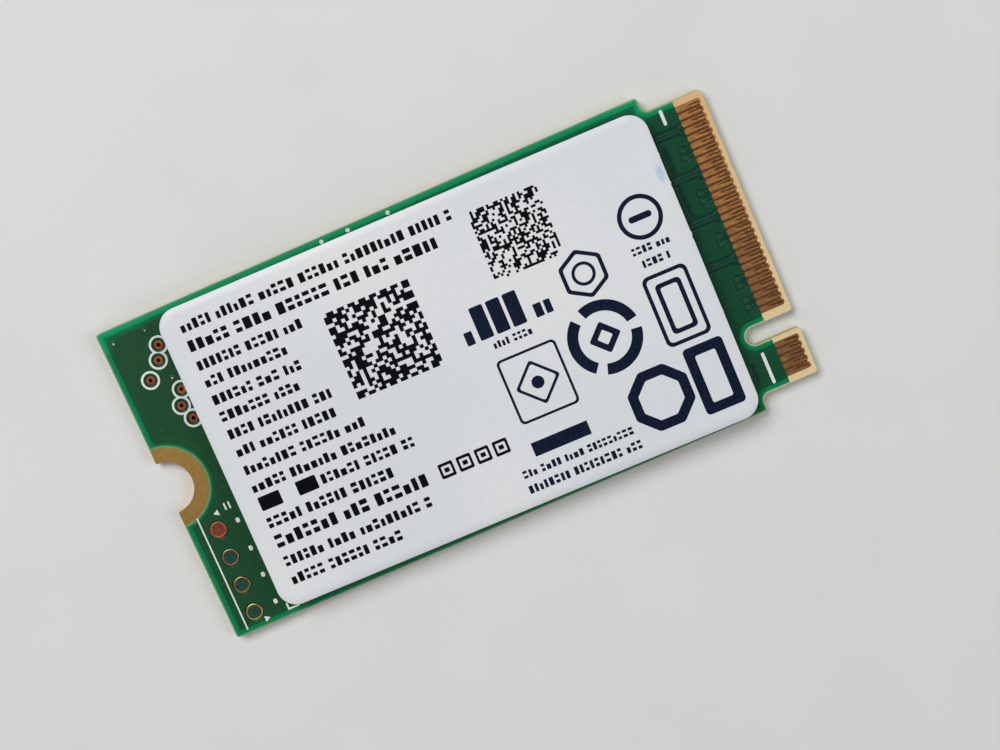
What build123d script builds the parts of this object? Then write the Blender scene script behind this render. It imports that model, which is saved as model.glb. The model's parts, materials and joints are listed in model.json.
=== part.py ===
from build123d import *
import math
import os
import random

os.makedirs("parts", exist_ok=True)

# Solid state drive card, 22 x 42 mm form factor, one populated side, key M.
# Frame: X runs along the card towards the contact edge, Y across it, Z up
# through the label.  Z = 0 is the lowest surface of the underside.

# ---------------------------------------------------------------- board plan
BOARD_L = 42.0            # overall length, retaining end to contact edge
BOARD_W = 22.0            # overall width
TONGUE_L = 4.0            # contact tongue, shoulder to edge
TONGUE_W = 19.85          # contact tongue width
SHOULDER_R = 0.5          # inner radius at each shoulder
CORNER_R = 0.2            # outer corners of the card
TONGUE_R = 0.25           # corners of the tongue and the key mouth
KEY_Y = -6.125            # centre line of the key M notch
KEY_W = 1.2               # key notch width, full-radius end
KEY_L = 3.5               # key notch depth from the contact edge
HOLE_R = 1.75             # half-round retaining notch
RING_R = 2.75             # ground ring round the retaining notch
BARREL_T = 0.035          # copper plating in the notch and in plated holes

X0 = -BOARD_L / 2
X1 = BOARD_L / 2
Y1 = BOARD_W / 2
XS = X1 - TONGUE_L        # shoulder plane
YT = TONGUE_W / 2

# -------------------------------------------------------------- board layers
MASK_LOW = 0.020          # mask surface over bare laminate, from each outer face
CU_OUT = 0.030            # outer face of the outer copper
CU_T = 0.025              # outer copper thickness
BOARD_T = 0.80            # over the mask on both sides
PLANE_T = 0.030           # inner plane thickness
PLANE_Z = 0.155           # inner plane, distance of its outer face from each side
PAD_T = 0.030             # contact and ring thickness, copper with its plating
SILK_T = 0.015            # marking ink height above the mask

ZC0, ZC1 = CU_OUT, CU_OUT + CU_T                     # bottom copper
ZC2, ZC3 = BOARD_T - CU_OUT - CU_T, BOARD_T - CU_OUT  # top copper
ZM = BOARD_T - MASK_LOW

# ------------------------------------------------------------------ contacts
PITCH = 0.5               # pins on one side are 0.5 mm apart
FINGER_W = 0.37
FINGER_X0 = 19.03         # mask edge
FINGER_X1 = 20.72         # finger tips
TOP_PINS = list(range(1, 58, 2)) + list(range(67, 76, 2))
BOTTOM_PINS = list(range(2, 59, 2)) + list(range(68, 75, 2))
GROUND_PINS = {1, 3, 9, 15, 21, 27, 33, 39, 45, 51, 57, 71, 73, 75}

# ------------------------------------------------------------------ packages
STANDOFF = 0.20           # board face to package substrate
SUBSTRATE_T = 0.16
PACKAGE_TOP = 1.05        # package top above the board face
FLASH = dict(x=-6.4, y=0.0, l=12.0, w=18.0)
CONTROLLER = dict(x=9.2, y=-0.6, l=11.0, w=11.0)
PMIC = dict(x=-14.6, y=5.6, a=4.0, h=0.75)
INDUCTORS = [(-14.8, 1.9), (-14.8, -0.8), (-14.8, -3.5)]
IND_L, IND_W, IND_H = 2.5, 2.0, 1.0
CRYSTAL = dict(x=6.0, y=8.3, l=2.5, w=2.0, h=0.55)
REGULATOR = dict(x=11.6, y=7.7, l=2.9, w=1.6, h=0.95)
TERMINAL_Z = BOARD_T + 0.02   # underside of chip terminals, on their solder

# --------------------------------------------------------------------- label
LABEL_CX, LABEL_CY = -0.075, -0.005
LABEL_L, LABEL_W = 33.78, 21.03
LABEL_R = 1.3
LABEL_TURN = -0.64        # degrees
ADHESIVE_T = 0.03
LABEL_T = 0.08
INK_T = 0.010
Z_LABEL = BOARD_T + PACKAGE_TOP


# ----------------------------------------------------------- plan-view tools
def slab(region, z0, z1):
    return extrude(Plane.XY.offset(z0) * region, amount=z1 - z0)


def disc(x, y, r):
    return Pos(x, y) * Circle(r)


def block(x, y, l, w, turn=0.0):
    return Pos(x, y) * Rot(0, 0, turn) * Rectangle(l, w)


def box(x0, x1, y0, y1, z0, z1):
    return Pos((x0 + x1) / 2, (y0 + y1) / 2, (z0 + z1) / 2) * Box(x1 - x0, y1 - y0, z1 - z0)


def track(points, w):
    """Faces of a trace of width w along points, with round ends."""
    out = []
    for (xa, ya), (xb, yb) in zip(points, points[1:]):
        d = math.hypot(xb - xa, yb - ya)
        a = math.degrees(math.atan2(yb - ya, xb - xa))
        out.append(block((xa + xb) / 2, (ya + yb) / 2, d, w, a))
    out += [disc(x, y, w / 2) for x, y in points]
    return out


def join(faces):
    faces = list(faces)
    if len(faces) == 1:
        return Sketch() + faces[0]
    return Sketch() + faces


def group(solids):
    return Compound(children=list(solids))


written = {}


def save(name, shape):
    solids = shape.solids()
    written[name] = solids
    if len(solids) > 1:
        shape = Compound(children=[s for s in solids])
    else:
        shape = solids[0]
    export_step(shape, f"parts/{name}.step")


def pin_y(n):
    return (38 - n) * 0.25


# ------------------------------------------------------------- board outline
def outline(grow_hole=0.0):
    card = block((X0 + XS) / 2, 0, XS - X0, BOARD_W) + block((XS + X1) / 2 - 1, 0, TONGUE_L + 2, TONGUE_W)

    def at(sk, x, y):
        return min(sk.vertices(), key=lambda v: (v.X - x) ** 2 + (v.Y - y) ** 2)

    for x, y, r in [
        (X0, Y1, CORNER_R), (X0, -Y1, CORNER_R), (XS, Y1, CORNER_R), (XS, -Y1, CORNER_R),
        (XS, YT, SHOULDER_R), (XS, -YT, SHOULDER_R), (X1, YT, TONGUE_R), (X1, -YT, TONGUE_R),
    ]:
        card = fillet(at(card, x, y), r)
    key_end = X1 - KEY_L + KEY_W / 2
    card = card - block((key_end + X1 + 1) / 2, KEY_Y, X1 + 1 - key_end, KEY_W)
    card = card - disc(key_end, KEY_Y, KEY_W / 2)
    for y in (KEY_Y + KEY_W / 2, KEY_Y - KEY_W / 2):
        card = fillet(at(card, X1, y), TONGUE_R)
    return card - disc(X0, 0, HOLE_R + grow_hole)


card = outline(BARREL_T)


def inset(d, x_end):
    """The card outline pulled in by d, stopping at x_end on the tongue."""
    region = block((X0 + d + XS - d) / 2, 0, XS - X0 - 2 * d, BOARD_W - 2 * d)
    region += block((XS - 2 + x_end) / 2, 0, x_end - XS + 2, TONGUE_W - 2 * d)
    key_end = X1 - KEY_L + KEY_W / 2
    region -= block((key_end + X1) / 2, KEY_Y, X1 - key_end, KEY_W + 2 * d)
    region -= disc(key_end, KEY_Y, KEY_W / 2 + d)
    return region - disc(X0, 0, RING_R + 0.2)


# ---------------------------------------------------------------- components
# Chip parts: (x, y, turn).  Sizes are length, width, height, end-cap length.
SIZES = {
    "cap_large": (1.6, 0.8, 0.80, 0.35),
    "cap_small": (1.0, 0.5, 0.50, 0.25),
    "cap_tiny": (0.6, 0.3, 0.30, 0.15),
    "resistor": (1.0, 0.5, 0.35, 0.22),
    "fuse": (1.6, 0.8, 0.45, 0.35),
    "bead": (1.0, 0.5, 0.50, 0.25),
}
CHIPS = {
    "cap_large": [(-14.7, 8.75, 0), (-14.7, 9.85, 0), (-16.1, -6.4, 90), (-14.9, -6.4, 90), (-13.7, -6.4, 90),
                  (0.95, 8.6, 90), (2.15, 8.6, 90), (0.95, -8.6, 90), (2.15, -8.6, 90), (15.6, 6.1, 90)],
    "cap_small": [(1.0, y, 0) for y in (-6.0, -3.0, 0.0, 3.0, 6.0)]
    + [(2.6, y, 0) for y in (-4.5, -1.5, 1.5, 4.5)]
    + [(x, -7.4, 90) for x in (4.9, 8.2, 11.5)]
    + [(4.0, 9.3, 90), (8.0, 9.3, 90), (14.3, 8.9, 90), (-16.6, -8.8, 90), (-15.5, -8.8, 90)],
    "cap_tiny": [(15.75, 2.35, 0), (15.75, 1.75, 0), (15.75, -0.65, 0), (15.75, -1.25, 0)],
    "resistor": [(4.0, 7.3, 90), (14.3, 6.9, 90), (15.9, -3.4, 90), (15.9, -5.0, 90),
                 (-14.4, -8.8, 90), (5.5, -9.3, 0), (7.6, -9.3, 0), (10.0, -9.3, 0)],
    "fuse": [(15.6, 8.6, 90)],
    "bead": [(12.4, -9.3, 0), (14.8, -9.3, 0)],
}


def chip_places():
    for kind, places in CHIPS.items():
        for x, y, turn in places:
            yield kind, x, y, turn


LAND_EXT = {"cap_large": 0.30, "cap_small": 0.20, "cap_tiny": 0.14, "resistor": 0.20, "fuse": 0.30, "bead": 0.20}


def ball_grid(p, pitch, keep):
    out = []
    nx = int((p["l"] - 1.4) / pitch) + 1
    ny = int((p["w"] - 1.4) / pitch) + 1
    for i in range(nx):
        for j in range(ny):
            if keep(i, j, nx, ny):
                out.append((p["x"] + (i - (nx - 1) / 2) * pitch, p["y"] + (j - (ny - 1) / 2) * pitch))
    return out


FLASH_BALLS = ball_grid(FLASH, 1.0, lambda i, j, nx, ny: 1 <= j <= 4 or ny - 5 <= j <= ny - 2)
CONTROLLER_BALLS = ball_grid(
    CONTROLLER, 1.0,
    lambda i, j, nx, ny: min(i, j, nx - 1 - i, ny - 1 - j) < 2 or (3 <= i <= nx - 4 and 3 <= j <= ny - 4),
)
BALL_LAND_R = 0.17


def local(x, y, turn, px, py):
    a = math.radians(turn)
    return x + px * math.cos(a) - py * math.sin(a), y + px * math.sin(a) + py * math.cos(a)


land_faces = []      # exposed copper lands on the populated side
land_keepouts = []
for kind, x, y, turn in chip_places():
    L, W, H, E = SIZES[kind]
    ext = LAND_EXT[kind]
    for s in (-1, 1):
        cx, cy = local(x, y, turn, s * (L / 2 - E / 2 + ext / 2), 0)
        land_faces.append(block(cx, cy, E + ext, W + 0.04, turn))
        land_keepouts.append(block(cx, cy, E + ext + 0.2, W + 0.24, turn))
for x, y in INDUCTORS:
    for s in (-1, 1):
        land_faces.append(block(x + s * 0.95, y, 0.9, 1.7))
        land_keepouts.append(block(x + s * 0.95, y, 1.1, 1.9))

QFN_N = 4
QFN_P = 0.65


def qfn_pins(p):
    """Centre and turn of each perimeter terminal."""
    for side in range(4):
        for k in range(QFN_N):
            t = (k - (QFN_N - 1) / 2) * QFN_P
            px, py = local(p["x"], p["y"], 90 * side, p["a"] / 2 - 0.2, t)
            yield px, py, 90 * side


for x, y, turn in qfn_pins(PMIC):
    cx, cy = local(x, y, turn, 0.12, 0)
    land_faces.append(block(cx, cy, 0.64, 0.26, turn))
land_faces.append(block(PMIC["x"], PMIC["y"], 2.5, 2.5))
land_keepouts.append(block(PMIC["x"], PMIC["y"], 5.1, 5.1))

CR_PADS = [(sx * 0.85, sy * 0.65) for sx in (-1, 1) for sy in (-1, 1)]
for px, py in CR_PADS:
    land_faces.append(block(CRYSTAL["x"] + px * 1.06, CRYSTAL["y"] + py * 1.06, 0.9, 0.8))
    land_keepouts.append(block(CRYSTAL["x"] + px * 1.06, CRYSTAL["y"] + py * 1.06, 1.1, 1.0))
REG_LEADS = [(-0.95, -1), (0.0, -1), (0.95, -1), (-0.95, 1), (0.95, 1)]
for px, s in REG_LEADS:
    land_faces.append(block(REGULATOR["x"] + px, REGULATOR["y"] + s * 1.3, 0.5, 0.7))
    land_keepouts.append(block(REGULATOR["x"] + px, REGULATOR["y"] + s * 1.3, 0.7, 0.9))

# ------------------------------------------------------------ holes and vias
VIA_R = 0.11              # filled via
VIA_CAP_R = 0.20
PROBE_R = 0.29            # eyelet flange of the open probe vias
PROBE_HOLE_R = 0.135
PROBES = [(-17.53, 8.84), (-17.96, 7.92), (-18.98, 6.92), (-17.39, 5.60), (-17.84, 4.62), (-17.47, 3.58)]
TEST_PADS = [(-19.10, -3.85), (-19.14, -5.84), (-19.22, -7.84), (-19.24, -9.83)]
TEST_PAD_R, TEST_PAD_RING = 0.55, 0.16

DOG_BONES = [11, 13, 23, 25, 35, 37, 47, 49, 53, 55]
dog_vias = {n: (18.42, pin_y(n) - 0.03 if n % 4 == 3 else pin_y(n) - 0.02) for n in DOG_BONES}
PAIRS = {(5, 7): 8.03, (17, 19): 5.06, (29, 31): 2.06, (41, 43): -0.95}
pair_vias = [(16.35, yc + s * 0.25) for yc in PAIRS.values() for s in (-1, 1)]
signal_vias = list(dog_vias.values()) + pair_vias + [
    (3.3, 5.2), (3.3, -7.5), (-12.9, 8.0), (-12.9, -5.0), (-13.0, 3.0), (-0.1, 9.9), (-0.1, -9.9), (15.2, -2.1)]
ground_vias = [(-20.17, 10.03), (-17.95, 10.03), (-17.62, 6.5), (-19.7, 3.6), (-19.7, -2.9 - 0.35), (-16.9, 0.5),
               (-16.9, -2.2), (-12.8, 10.2), (-9.0, 10.2), (-5.0, 10.2), (-3.0, -10.2), (-7.0, -10.2), (-11.0, -10.2),
               (3.4, 10.2), (10.0, 10.2), (13.3, 10.3), (3.4, -10.2), (9.0, -10.2), (13.9, -10.2), (16.5, 9.9),
               (16.6, -8.4), (16.7, -6.6), (3.2, 0.0), (3.2, -2.1), (15.15, 0.5), (15.15, 3.1), (-12.9, -9.9),
               (-17.6, -1.4), (-17.4, -6.8), (-20.0, -6.8)]
all_vias = signal_vias + ground_vias

# ------------------------------------------------------ populated-side copper
TRACE_W = 0.10
signal_tracks, track_gaps = [], []
for n in DOG_BONES:
    vx, vy = dog_vias[n]
    pts = [(vx, vy), (vx + 0.3, pin_y(n)), (FINGER_X0, pin_y(n))]
    signal_tracks.append(track(pts, TRACE_W + 0.02) + [disc(vx, vy, VIA_CAP_R)])
    track_gaps += track(pts, TRACE_W + 0.26) + [disc(vx, vy, VIA_CAP_R + 0.12)]
for (na, nb), yc in PAIRS.items():
    for n, s in ((na, 1), (nb, -1)):
        pts = [(16.35, yc + s * 0.25), (16.6, yc + s * 0.1), (18.72, yc + s * 0.1), (18.92, pin_y(n)), (FINGER_X0, pin_y(n))]
        signal_tracks.append(track(pts, TRACE_W) + [disc(16.35, yc + s * 0.25, VIA_CAP_R)])
        track_gaps += track(pts, TRACE_W + 0.44) + [disc(16.35, yc + s * 0.25, VIA_CAP_R + 0.12)]
voids = [
    join([block(17.38, 6.35, 0.38, 1.75), disc(17.38, 7.22, 0.19), block(17.38, 5.45, 0.38, 0.4)]),
    join([block(17.32, 3.6, 0.30, 1.9), disc(17.32, 4.55, 0.15)] + track([(17.32, 2.75), (17.75, 2.32)], 0.30)),
    join([block(17.16, -8.45, 0.30, 1.1), disc(17.16, -7.9, 0.15), disc(17.16, -9.0, 0.15)]),
]

probe_faces = [disc(x, y, PROBE_R) for x, y in PROBES]
probe_gaps = [disc(x, y, PROBE_R + 0.1) for x, y in PROBES]
test_pad_faces = [disc(x, y, TEST_PAD_R) for x, y in TEST_PADS]
test_pad_gaps = [disc(x, y, TEST_PAD_R + 0.1) for x, y in TEST_PADS]
signal_caps = [disc(x, y, VIA_CAP_R) for x, y in signal_vias]
signal_cap_gaps = [disc(x, y, VIA_CAP_R + 0.1) for x, y in signal_vias]

via_cores = [disc(x, y, VIA_R) for x, y in all_vias]
probe_bores = [disc(x, y, PROBE_HOLE_R + BARREL_T) for x, y in PROBES]

pour = inset(0.42, FINGER_X0)
pour = pour - (land_keepouts + track_gaps + voids + probe_gaps + test_pad_gaps + signal_cap_gaps)
# Islands narrower than a trace are not etched: keep the main sheet and the large pieces.
pour = Sketch() + [f for f in pour.faces() if f.area > 0.4]
tracks = [join(t) for t in signal_tracks]
loose_caps = [disc(x, y, VIA_CAP_R) for x, y in signal_vias[len(dog_vias) + len(pair_vias):]]

top_ground = pour - via_cores
top_signal = (Sketch() + (tracks + loose_caps)) - via_cores
covered_top = Sketch() + ([top_ground, top_signal] + via_cores)

ring = (disc(X0, 0, RING_R) - disc(X0, 0, HOLE_R + BARREL_T)) & block(X0 + 5, 0, 10, 20)
fingers_top_area = block((FINGER_X0 + X1) / 2, 0, X1 - FINGER_X0, BOARD_W)
open_top = Sketch() + (land_faces + probe_faces + [ring, fingers_top_area]
                       + [disc(x, y, TEST_PAD_R) - disc(x, y, TEST_PAD_R - TEST_PAD_RING) for x, y in TEST_PADS])
test_centres = [disc(x, y, TEST_PAD_R - TEST_PAD_RING) for x, y in TEST_PADS]

mask_plan = card - open_top
raised = covered_top - open_top + test_centres
mask_top = slab(mask_plan, ZC2, ZM) + slab(raised, ZM, BOARD_T)
mask_top -= slab(covered_top + test_centres, ZC2, ZC3)
print("mask_top solids", len(mask_top.solids()))

save("solder_mask_top", mask_top)
save("top_ground_copper", slab(top_ground, ZC2, ZC3))
save("top_signal_traces", slab(top_signal, ZC2, ZC3))
save("component_lands", slab(Sketch() + land_faces, ZC2, ZC3))
save("test_pads", group([
    s for x, y in TEST_PADS
    for s in (slab(disc(x, y, TEST_PAD_R), ZC2, ZC3)
              + slab(disc(x, y, TEST_PAD_R) - disc(x, y, TEST_PAD_R - TEST_PAD_RING), ZC3, ZC3 + 0.005)).solids()]))

# ------------------------------------------------------------ underside copper
B_PADS = [(-16.5, 6.0), (-16.5, 3.5), (-14.0, 6.0), (-14.0, 3.5), (-11.5, 6.0), (-11.5, 3.5), (-16.5, -5.5),
          (-14.0, -5.5), (-11.5, -5.5), (6.5, 7.5), (9.0, 7.5), (11.5, 7.5)]
B_PAD_R = 0.45
b_tracks = {
    6: [(FINGER_X0, pin_y(6)), (18.2, pin_y(6)), (17.2, 7.0), (11.5, 7.0), (11.5, 7.5)],
    10: [(FINGER_X0, pin_y(10)), (17.9, pin_y(10)), (17.0, 6.2), (9.6, 6.2), (9.0, 6.8), (9.0, 7.5)],
    38: [(FINGER_X0, pin_y(38)), (17.6, 0.0), (17.0, 0.6), (4.6, 0.6), (3.3, 1.9), (3.3, 5.2)],
    40: [(FINGER_X0, pin_y(40)), (17.4, -0.5), (15.2, -2.1)],
    44: [(FINGER_X0, pin_y(44)), (17.6, -1.5), (16.6, -2.5), (16.6, -3.8), (4.6, -3.8), (3.3, -5.1), (3.3, -7.5)],
    50: [(FINGER_X0, pin_y(50)), (18.0, -3.0), (16.8, -4.2), (5.0, -4.2), (-0.1, -9.3), (-0.1, -9.9)],
    52: [(FINGER_X0, pin_y(52)), (18.1, -3.5), (17.0, -4.6), (5.4, -4.6), (2.0, -8.0), (-10.4, -8.0), (-11.5, -6.9), (-11.5, -5.5)],
    54: [(FINGER_X0, pin_y(54)), (18.2, -4.0), (17.2, -5.0), (5.8, -5.0), (2.4, -8.4), (-11.4, -8.4), (-14.0, -6.0), (-14.0, -5.5)],
    68: [(FINGER_X0, pin_y(68)), (18.2, -7.5), (17.0, -7.9), (5.4, -7.9), (4.5, -8.8), (-13.2, -8.8), (-16.5, -5.5)],
}
b_links = [
    [(-12.9, 8.0), (-12.9, 4.0), (-11.5, 3.5)],
    [(-13.0, 3.0), (-14.0, 3.5)],
    [(-0.1, 9.9), (-0.1, 8.6), (-2.2, 6.5), (-11.0, 6.5), (-11.5, 6.0)],
    [(6.5, 7.5), (4.6, 9.2), (0.6, 9.2), (-2.4, 7.0), (-2.4, 7.0)],
    [(-12.9, -5.0), (-11.9, -4.4), (-2.0, -4.4), (0.6, -1.8), (0.6, 4.0), (-1.4, 6.0), (-10.5, 6.0)],
]
b_signal_faces, b_gaps = [], []
for pts in list(b_tracks.values()) + b_links[:3]:
    b_signal_faces.append(join(track(pts, 0.15)))
    b_gaps += track(pts, 0.45)
b_caps = [disc(x, y, VIA_CAP_R) for x, y in signal_vias]
b_cap_gaps = [disc(x, y, VIA_CAP_R + 0.12) for x, y in signal_vias]
b_pads = [disc(x, y, B_PAD_R) for x, y in B_PADS]
b_pad_gaps = [disc(x, y, B_PAD_R + 0.15) for x, y in B_PADS]
supply_pour = block(17.9, 8.62, 1.5, 1.0)
bottom_ground = inset(0.42, FINGER_X0) - (b_gaps + b_cap_gaps + b_pad_gaps + probe_gaps + via_cores
                                          + [block(17.9, 8.62, 1.9, 1.3)])
bottom_ground = Sketch() + [f for f in bottom_ground.faces() if f.area > 0.4]
power_link = join([supply_pour] + track([(18.7, pin_y(2)), (FINGER_X0, pin_y(2))], 0.3)
                  + track([(18.7, pin_y(4)), (FINGER_X0, pin_y(4))], 0.3))
bottom_signal = (Sketch() + (b_signal_faces + b_caps + [power_link])) - (b_pads + via_cores)
bottom_signal = bottom_signal - [block(17.9, 8.62, 1.9, 1.3) - block(17.9, 8.62, 1.5, 1.0) - block(18.9, 8.62, 0.5, 1.3)]
bottom_signal = Sketch() + [f for f in bottom_signal.faces() if f.area > 0.02]
covered_bottom = Sketch() + ([bottom_ground, bottom_signal] + via_cores)
open_bottom = Sketch() + (b_pads + probe_faces + [ring, fingers_top_area])
mask_bottom = slab(card - open_bottom, MASK_LOW, ZC1) + slab(covered_bottom - open_bottom, 0, MASK_LOW)
mask_bottom -= slab(covered_bottom, ZC0, ZC1)
print("mask_bottom solids", len(mask_bottom.solids()))
save("solder_mask_bottom", mask_bottom)
save("bottom_ground_copper", slab(bottom_ground, ZC0, ZC1))
save("bottom_signal_traces", slab(bottom_signal, ZC0, ZC1))
save("underside_test_pads", slab(Sketch() + b_pads, ZC0 - 0.005, ZC1))

# ------------------------------------------------------------------ contacts
def finger(n):
    y = pin_y(n)
    w = FINGER_W / 2
    tip = 0.09
    return make_face(Polyline(
        (FINGER_X0, y - w + 0.05), (FINGER_X0 + 0.07, y - w), (FINGER_X1 - tip, y - w), (FINGER_X1, y - w + tip),
        (FINGER_X1, y + w - tip), (FINGER_X1 - tip, y + w), (FINGER_X0 + 0.07, y + w), (FINGER_X0, y + w - 0.05),
        (FINGER_X0, y - w + 0.05)))


save("edge_contacts_top", slab(Sketch() + [finger(n) for n in TOP_PINS], ZC2, ZC2 + PAD_T))
save("edge_contacts_bottom", slab(Sketch() + [finger(n) for n in BOTTOM_PINS], ZC1 - PAD_T, ZC1))

# ------------------------------------------------- laminate and inner planes
bores = via_cores + probe_bores
pz0, pz1 = PLANE_Z, PLANE_Z + PLANE_T
gz0, gz1 = BOARD_T - PLANE_Z - PLANE_T, BOARD_T - PLANE_Z
anti = [disc(x, y, VIA_R + 0.13) for x, y in signal_vias] + [disc(x, y, PROBE_HOLE_R + 0.17) for x, y in PROBES]
power_anti = [disc(x, y, VIA_R + 0.13) for x, y in all_vias] + [disc(x, y, PROBE_HOLE_R + 0.17) for x, y in PROBES]
ground_plane = inset(0.5, 18.9) - (anti + via_cores)
power_plane = inset(0.7, 18.6) - power_anti
plan = card - bores
save("laminate_core", slab(plan, pz1, gz0))
save("prepreg_top", slab(plan, gz0, ZC2) - slab(ground_plane, gz0, gz1))
save("prepreg_bottom", slab(plan, ZC1, pz1) - slab(power_plane, pz0, pz1))
save("inner_ground_plane", slab(ground_plane, gz0, gz1))
save("inner_power_plane", slab(power_plane, pz0, pz1))
save("filled_vias", slab(Sketch() + via_cores, ZC0, ZC3))


def eyelet(x, y):
    z0, z1 = ZC0 - 0.005, ZC3 + 0.005
    r = PROBE_HOLE_R
    prof = make_face(Polyline(
        (r, z0), (PROBE_R, z0), (PROBE_R, ZC1), (r + BARREL_T, ZC1), (r + BARREL_T, ZC2), (PROBE_R, ZC2),
        (PROBE_R, z1), (r, z1), (r, z0)))
    return Pos(x, y, 0) * revolve(Plane.XZ * prof, Axis.Z)


save("probe_eyelets", group([eyelet(x, y) for x, y in PROBES]))

half = Pos(X0 + 5, 0, 0) * Box(10, 20, 4)
rz0, rz1 = ZC1 - PAD_T, ZC2 + PAD_T
ring_prof = make_face(Polyline(
    (HOLE_R, rz0), (RING_R, rz0), (RING_R, ZC1), (HOLE_R + BARREL_T, ZC1), (HOLE_R + BARREL_T, ZC2),
    (RING_R, ZC2), (RING_R, rz1), (HOLE_R, rz1), (HOLE_R, rz0)))
save("retaining_ring", (Pos(X0, 0, 0) * revolve(Plane.XZ * ring_prof, Axis.Z)) & half)

# ------------------------------------------------------------------ markings
def tick(x, y, l, w, turn=0.0):
    return Pos(x, y) * Rot(0, 0, turn) * RectangleRounded(l, w, min(l, w) * 0.42)


silk = [
    tick(18.10, 9.17, 0.22, 1.04), tick(18.10, -8.42, 0.22, 2.18),
    tick(-20.10, -6.4, 0.10, 8.7, -0.45),
    disc(-5.11, 10.69, 0.14), disc(-3.26, 10.69, 0.14), disc(-0.45, 10.69, 0.14),
]
silk_rings = Sketch() + [disc(x, y, 0.62) for x, y in PROBES] - [disc(x, y, 0.475) for x, y in PROBES]
marks = []
for y in (-9.72, -7.74, -5.80, -3.75):
    marks.append(tick(-17.66, y, 0.26, 0.34))
marks += [tick(-18.05, -2.6, 0.12, 0.5), tick(-17.75, -2.6, 0.12, 0.5)]
marks.append(Pos(-18.66, -10.56) * RegularPolygon(0.24, 3))
marks.append(Pos(-18.72, -2.78) * RegularPolygon(0.24, 3, rotation=180))
bracket = [tick(-17.06, -10.37, 0.12, 0.5), tick(-16.7, -10.56, 0.8, 0.12)]
# Outline corners of the two large packages, hidden below the label.
for p in (FLASH, CONTROLLER):
    for sx in (-1, 1):
        for sy in (-1, 1):
            cx, cy = p["x"] + sx * (p["l"] / 2 + 0.18), p["y"] + sy * (p["w"] / 2 + 0.18)
            marks.append(tick(cx - sx * 0.35, cy, 0.8, 0.1))
            marks.append(tick(cx, cy - sy * 0.35, 0.1, 0.8))
silk_plan = (Sketch() + (silk + [silk_rings] + marks + bracket)) & card
silk_plan = silk_plan - open_top
silk_solid = slab(silk_plan, ZM, BOARD_T + SILK_T) - mask_top
save("silkscreen", silk_solid)

# ---------------------------------------------------------------- solder and chips
caps = {k: [] for k in SIZES}
bodies = {k: [] for k in SIZES}
films = []
solder = []
WALL = 0.03
for kind, x, y, turn in chip_places():
    L, W, H, E = SIZES[kind]
    ext = LAND_EXT[kind]
    place = Pos(x, y, 0) * Rot(0, 0, turn)
    z0 = TERMINAL_Z
    core = Pos(0, 0, z0 + H / 2) * Box(L - 2 * WALL, W - 2 * WALL, H - 2 * WALL)
    if kind == "resistor":
        film = Pos(0, 0, z0 + H - WALL - 0.02) * Box(L - 2 * E - 0.02, W - 2 * WALL, 0.04)
        core = core - film
        films.append(place * film)
    bodies[kind].append(place * core)
    for s in (-1, 1):
        cap = Pos(s * (L / 2 - E / 2), 0, z0 + H / 2) * Box(E, W, H)
        cap = fillet(cap.edges().filter_by(Axis.Y).group_by(Axis.X)[-1 if s > 0 else 0], min(0.05, H * 0.12))
        cap -= Pos(0, 0, z0 + H / 2) * Box(L - 2 * WALL, W - 2 * WALL, H - 2 * WALL)
        caps[kind].append(place * cap)
        xi, xe, xo = s * (L / 2 - E), s * (L / 2), s * (L / 2 + ext)
        r = min(0.05, H * 0.12)
        prof = make_face(Polyline(
            (xi, ZC3), (xo, ZC3), (xo, ZC3 + 0.03), (s * (L / 2 + ext * 0.35), z0 + H * 0.22), (xe, z0 + H * 0.62),
            (xe, z0 + r), (xe - s * r * 0.3, z0 + r * 0.3), (xe - s * r, z0), (xi, z0), (xi, ZC3)))
        joint = extrude(Plane.XZ * prof, amount=W / 2, both=True)
        solder.append(place * (joint - Pos(s * (L / 2 - E / 2), 0, z0 + H / 2) * fillet(
            Box(E, W + 1, H).edges().filter_by(Axis.Y).group_by(Axis.X)[-1 if s > 0 else 0], r)))
save("large_capacitor_bodies", group(bodies["cap_large"]))
save("large_capacitor_terminals", group(caps["cap_large"]))
save("small_capacitor_bodies", group(bodies["cap_small"] + bodies["cap_tiny"]))
save("small_capacitor_terminals", group(caps["cap_small"] + caps["cap_tiny"]))
save("resistor_bodies", group(bodies["resistor"]))
save("resistor_films", group(films))
save("resistor_terminals", group(caps["resistor"]))
save("fuse_body", group(bodies["fuse"]))
save("fuse_terminals", group(caps["fuse"]))
save("ferrite_bead_bodies", group(bodies["bead"]))
save("ferrite_bead_terminals", group(caps["bead"]))

# --------------------------------------------------------------- inductors
ind_bodies, ind_terms, ind_coils = [], [], []
for x, y in INDUCTORS:
    z0 = TERMINAL_Z
    place = Pos(x, y, 0)
    body = Pos(0, 0, z0 + IND_H / 2) * Box(IND_L, IND_W, IND_H)
    body = chamfer(body.edges().filter_by(Axis.Z), 0.12)
    coil = Pos(0, 0, z0 + 0.52) * (Cylinder(0.80, 0.46) - Cylinder(0.42, 0.46))
    terms = []
    for s in (-1, 1):
        foot = Pos(s * (IND_L / 2 - 0.35), 0, z0 + 0.04) * Box(0.7, 1.5, 0.08)
        side = Pos(s * (IND_L / 2 - 0.04), 0, z0 + 0.25) * Box(0.08, 1.5, 0.5)
        terms.append(foot + side)
    cut = body - terms[0] - terms[1] - coil
    ind_bodies.append(place * cut)
    ind_terms += [place * t for t in terms]
    ind_coils.append(place * coil)
    for s in (-1, 1):
        xi, xo = s * 0.55, s * 1.4
        solder.append(place * (box(*sorted((xi, xo)), -0.8, 0.8, ZC3, z0)
                               + extrude(Plane.XZ * make_face(Polyline(
                                   (s * 1.25, z0), (s * 1.4, z0), (s * 1.25, z0 + 0.3), (s * 1.25, z0))),
                                   amount=0.7, both=True)))
save("inductor_cores", group(ind_bodies))
save("inductor_terminals", group(ind_terms))
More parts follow.
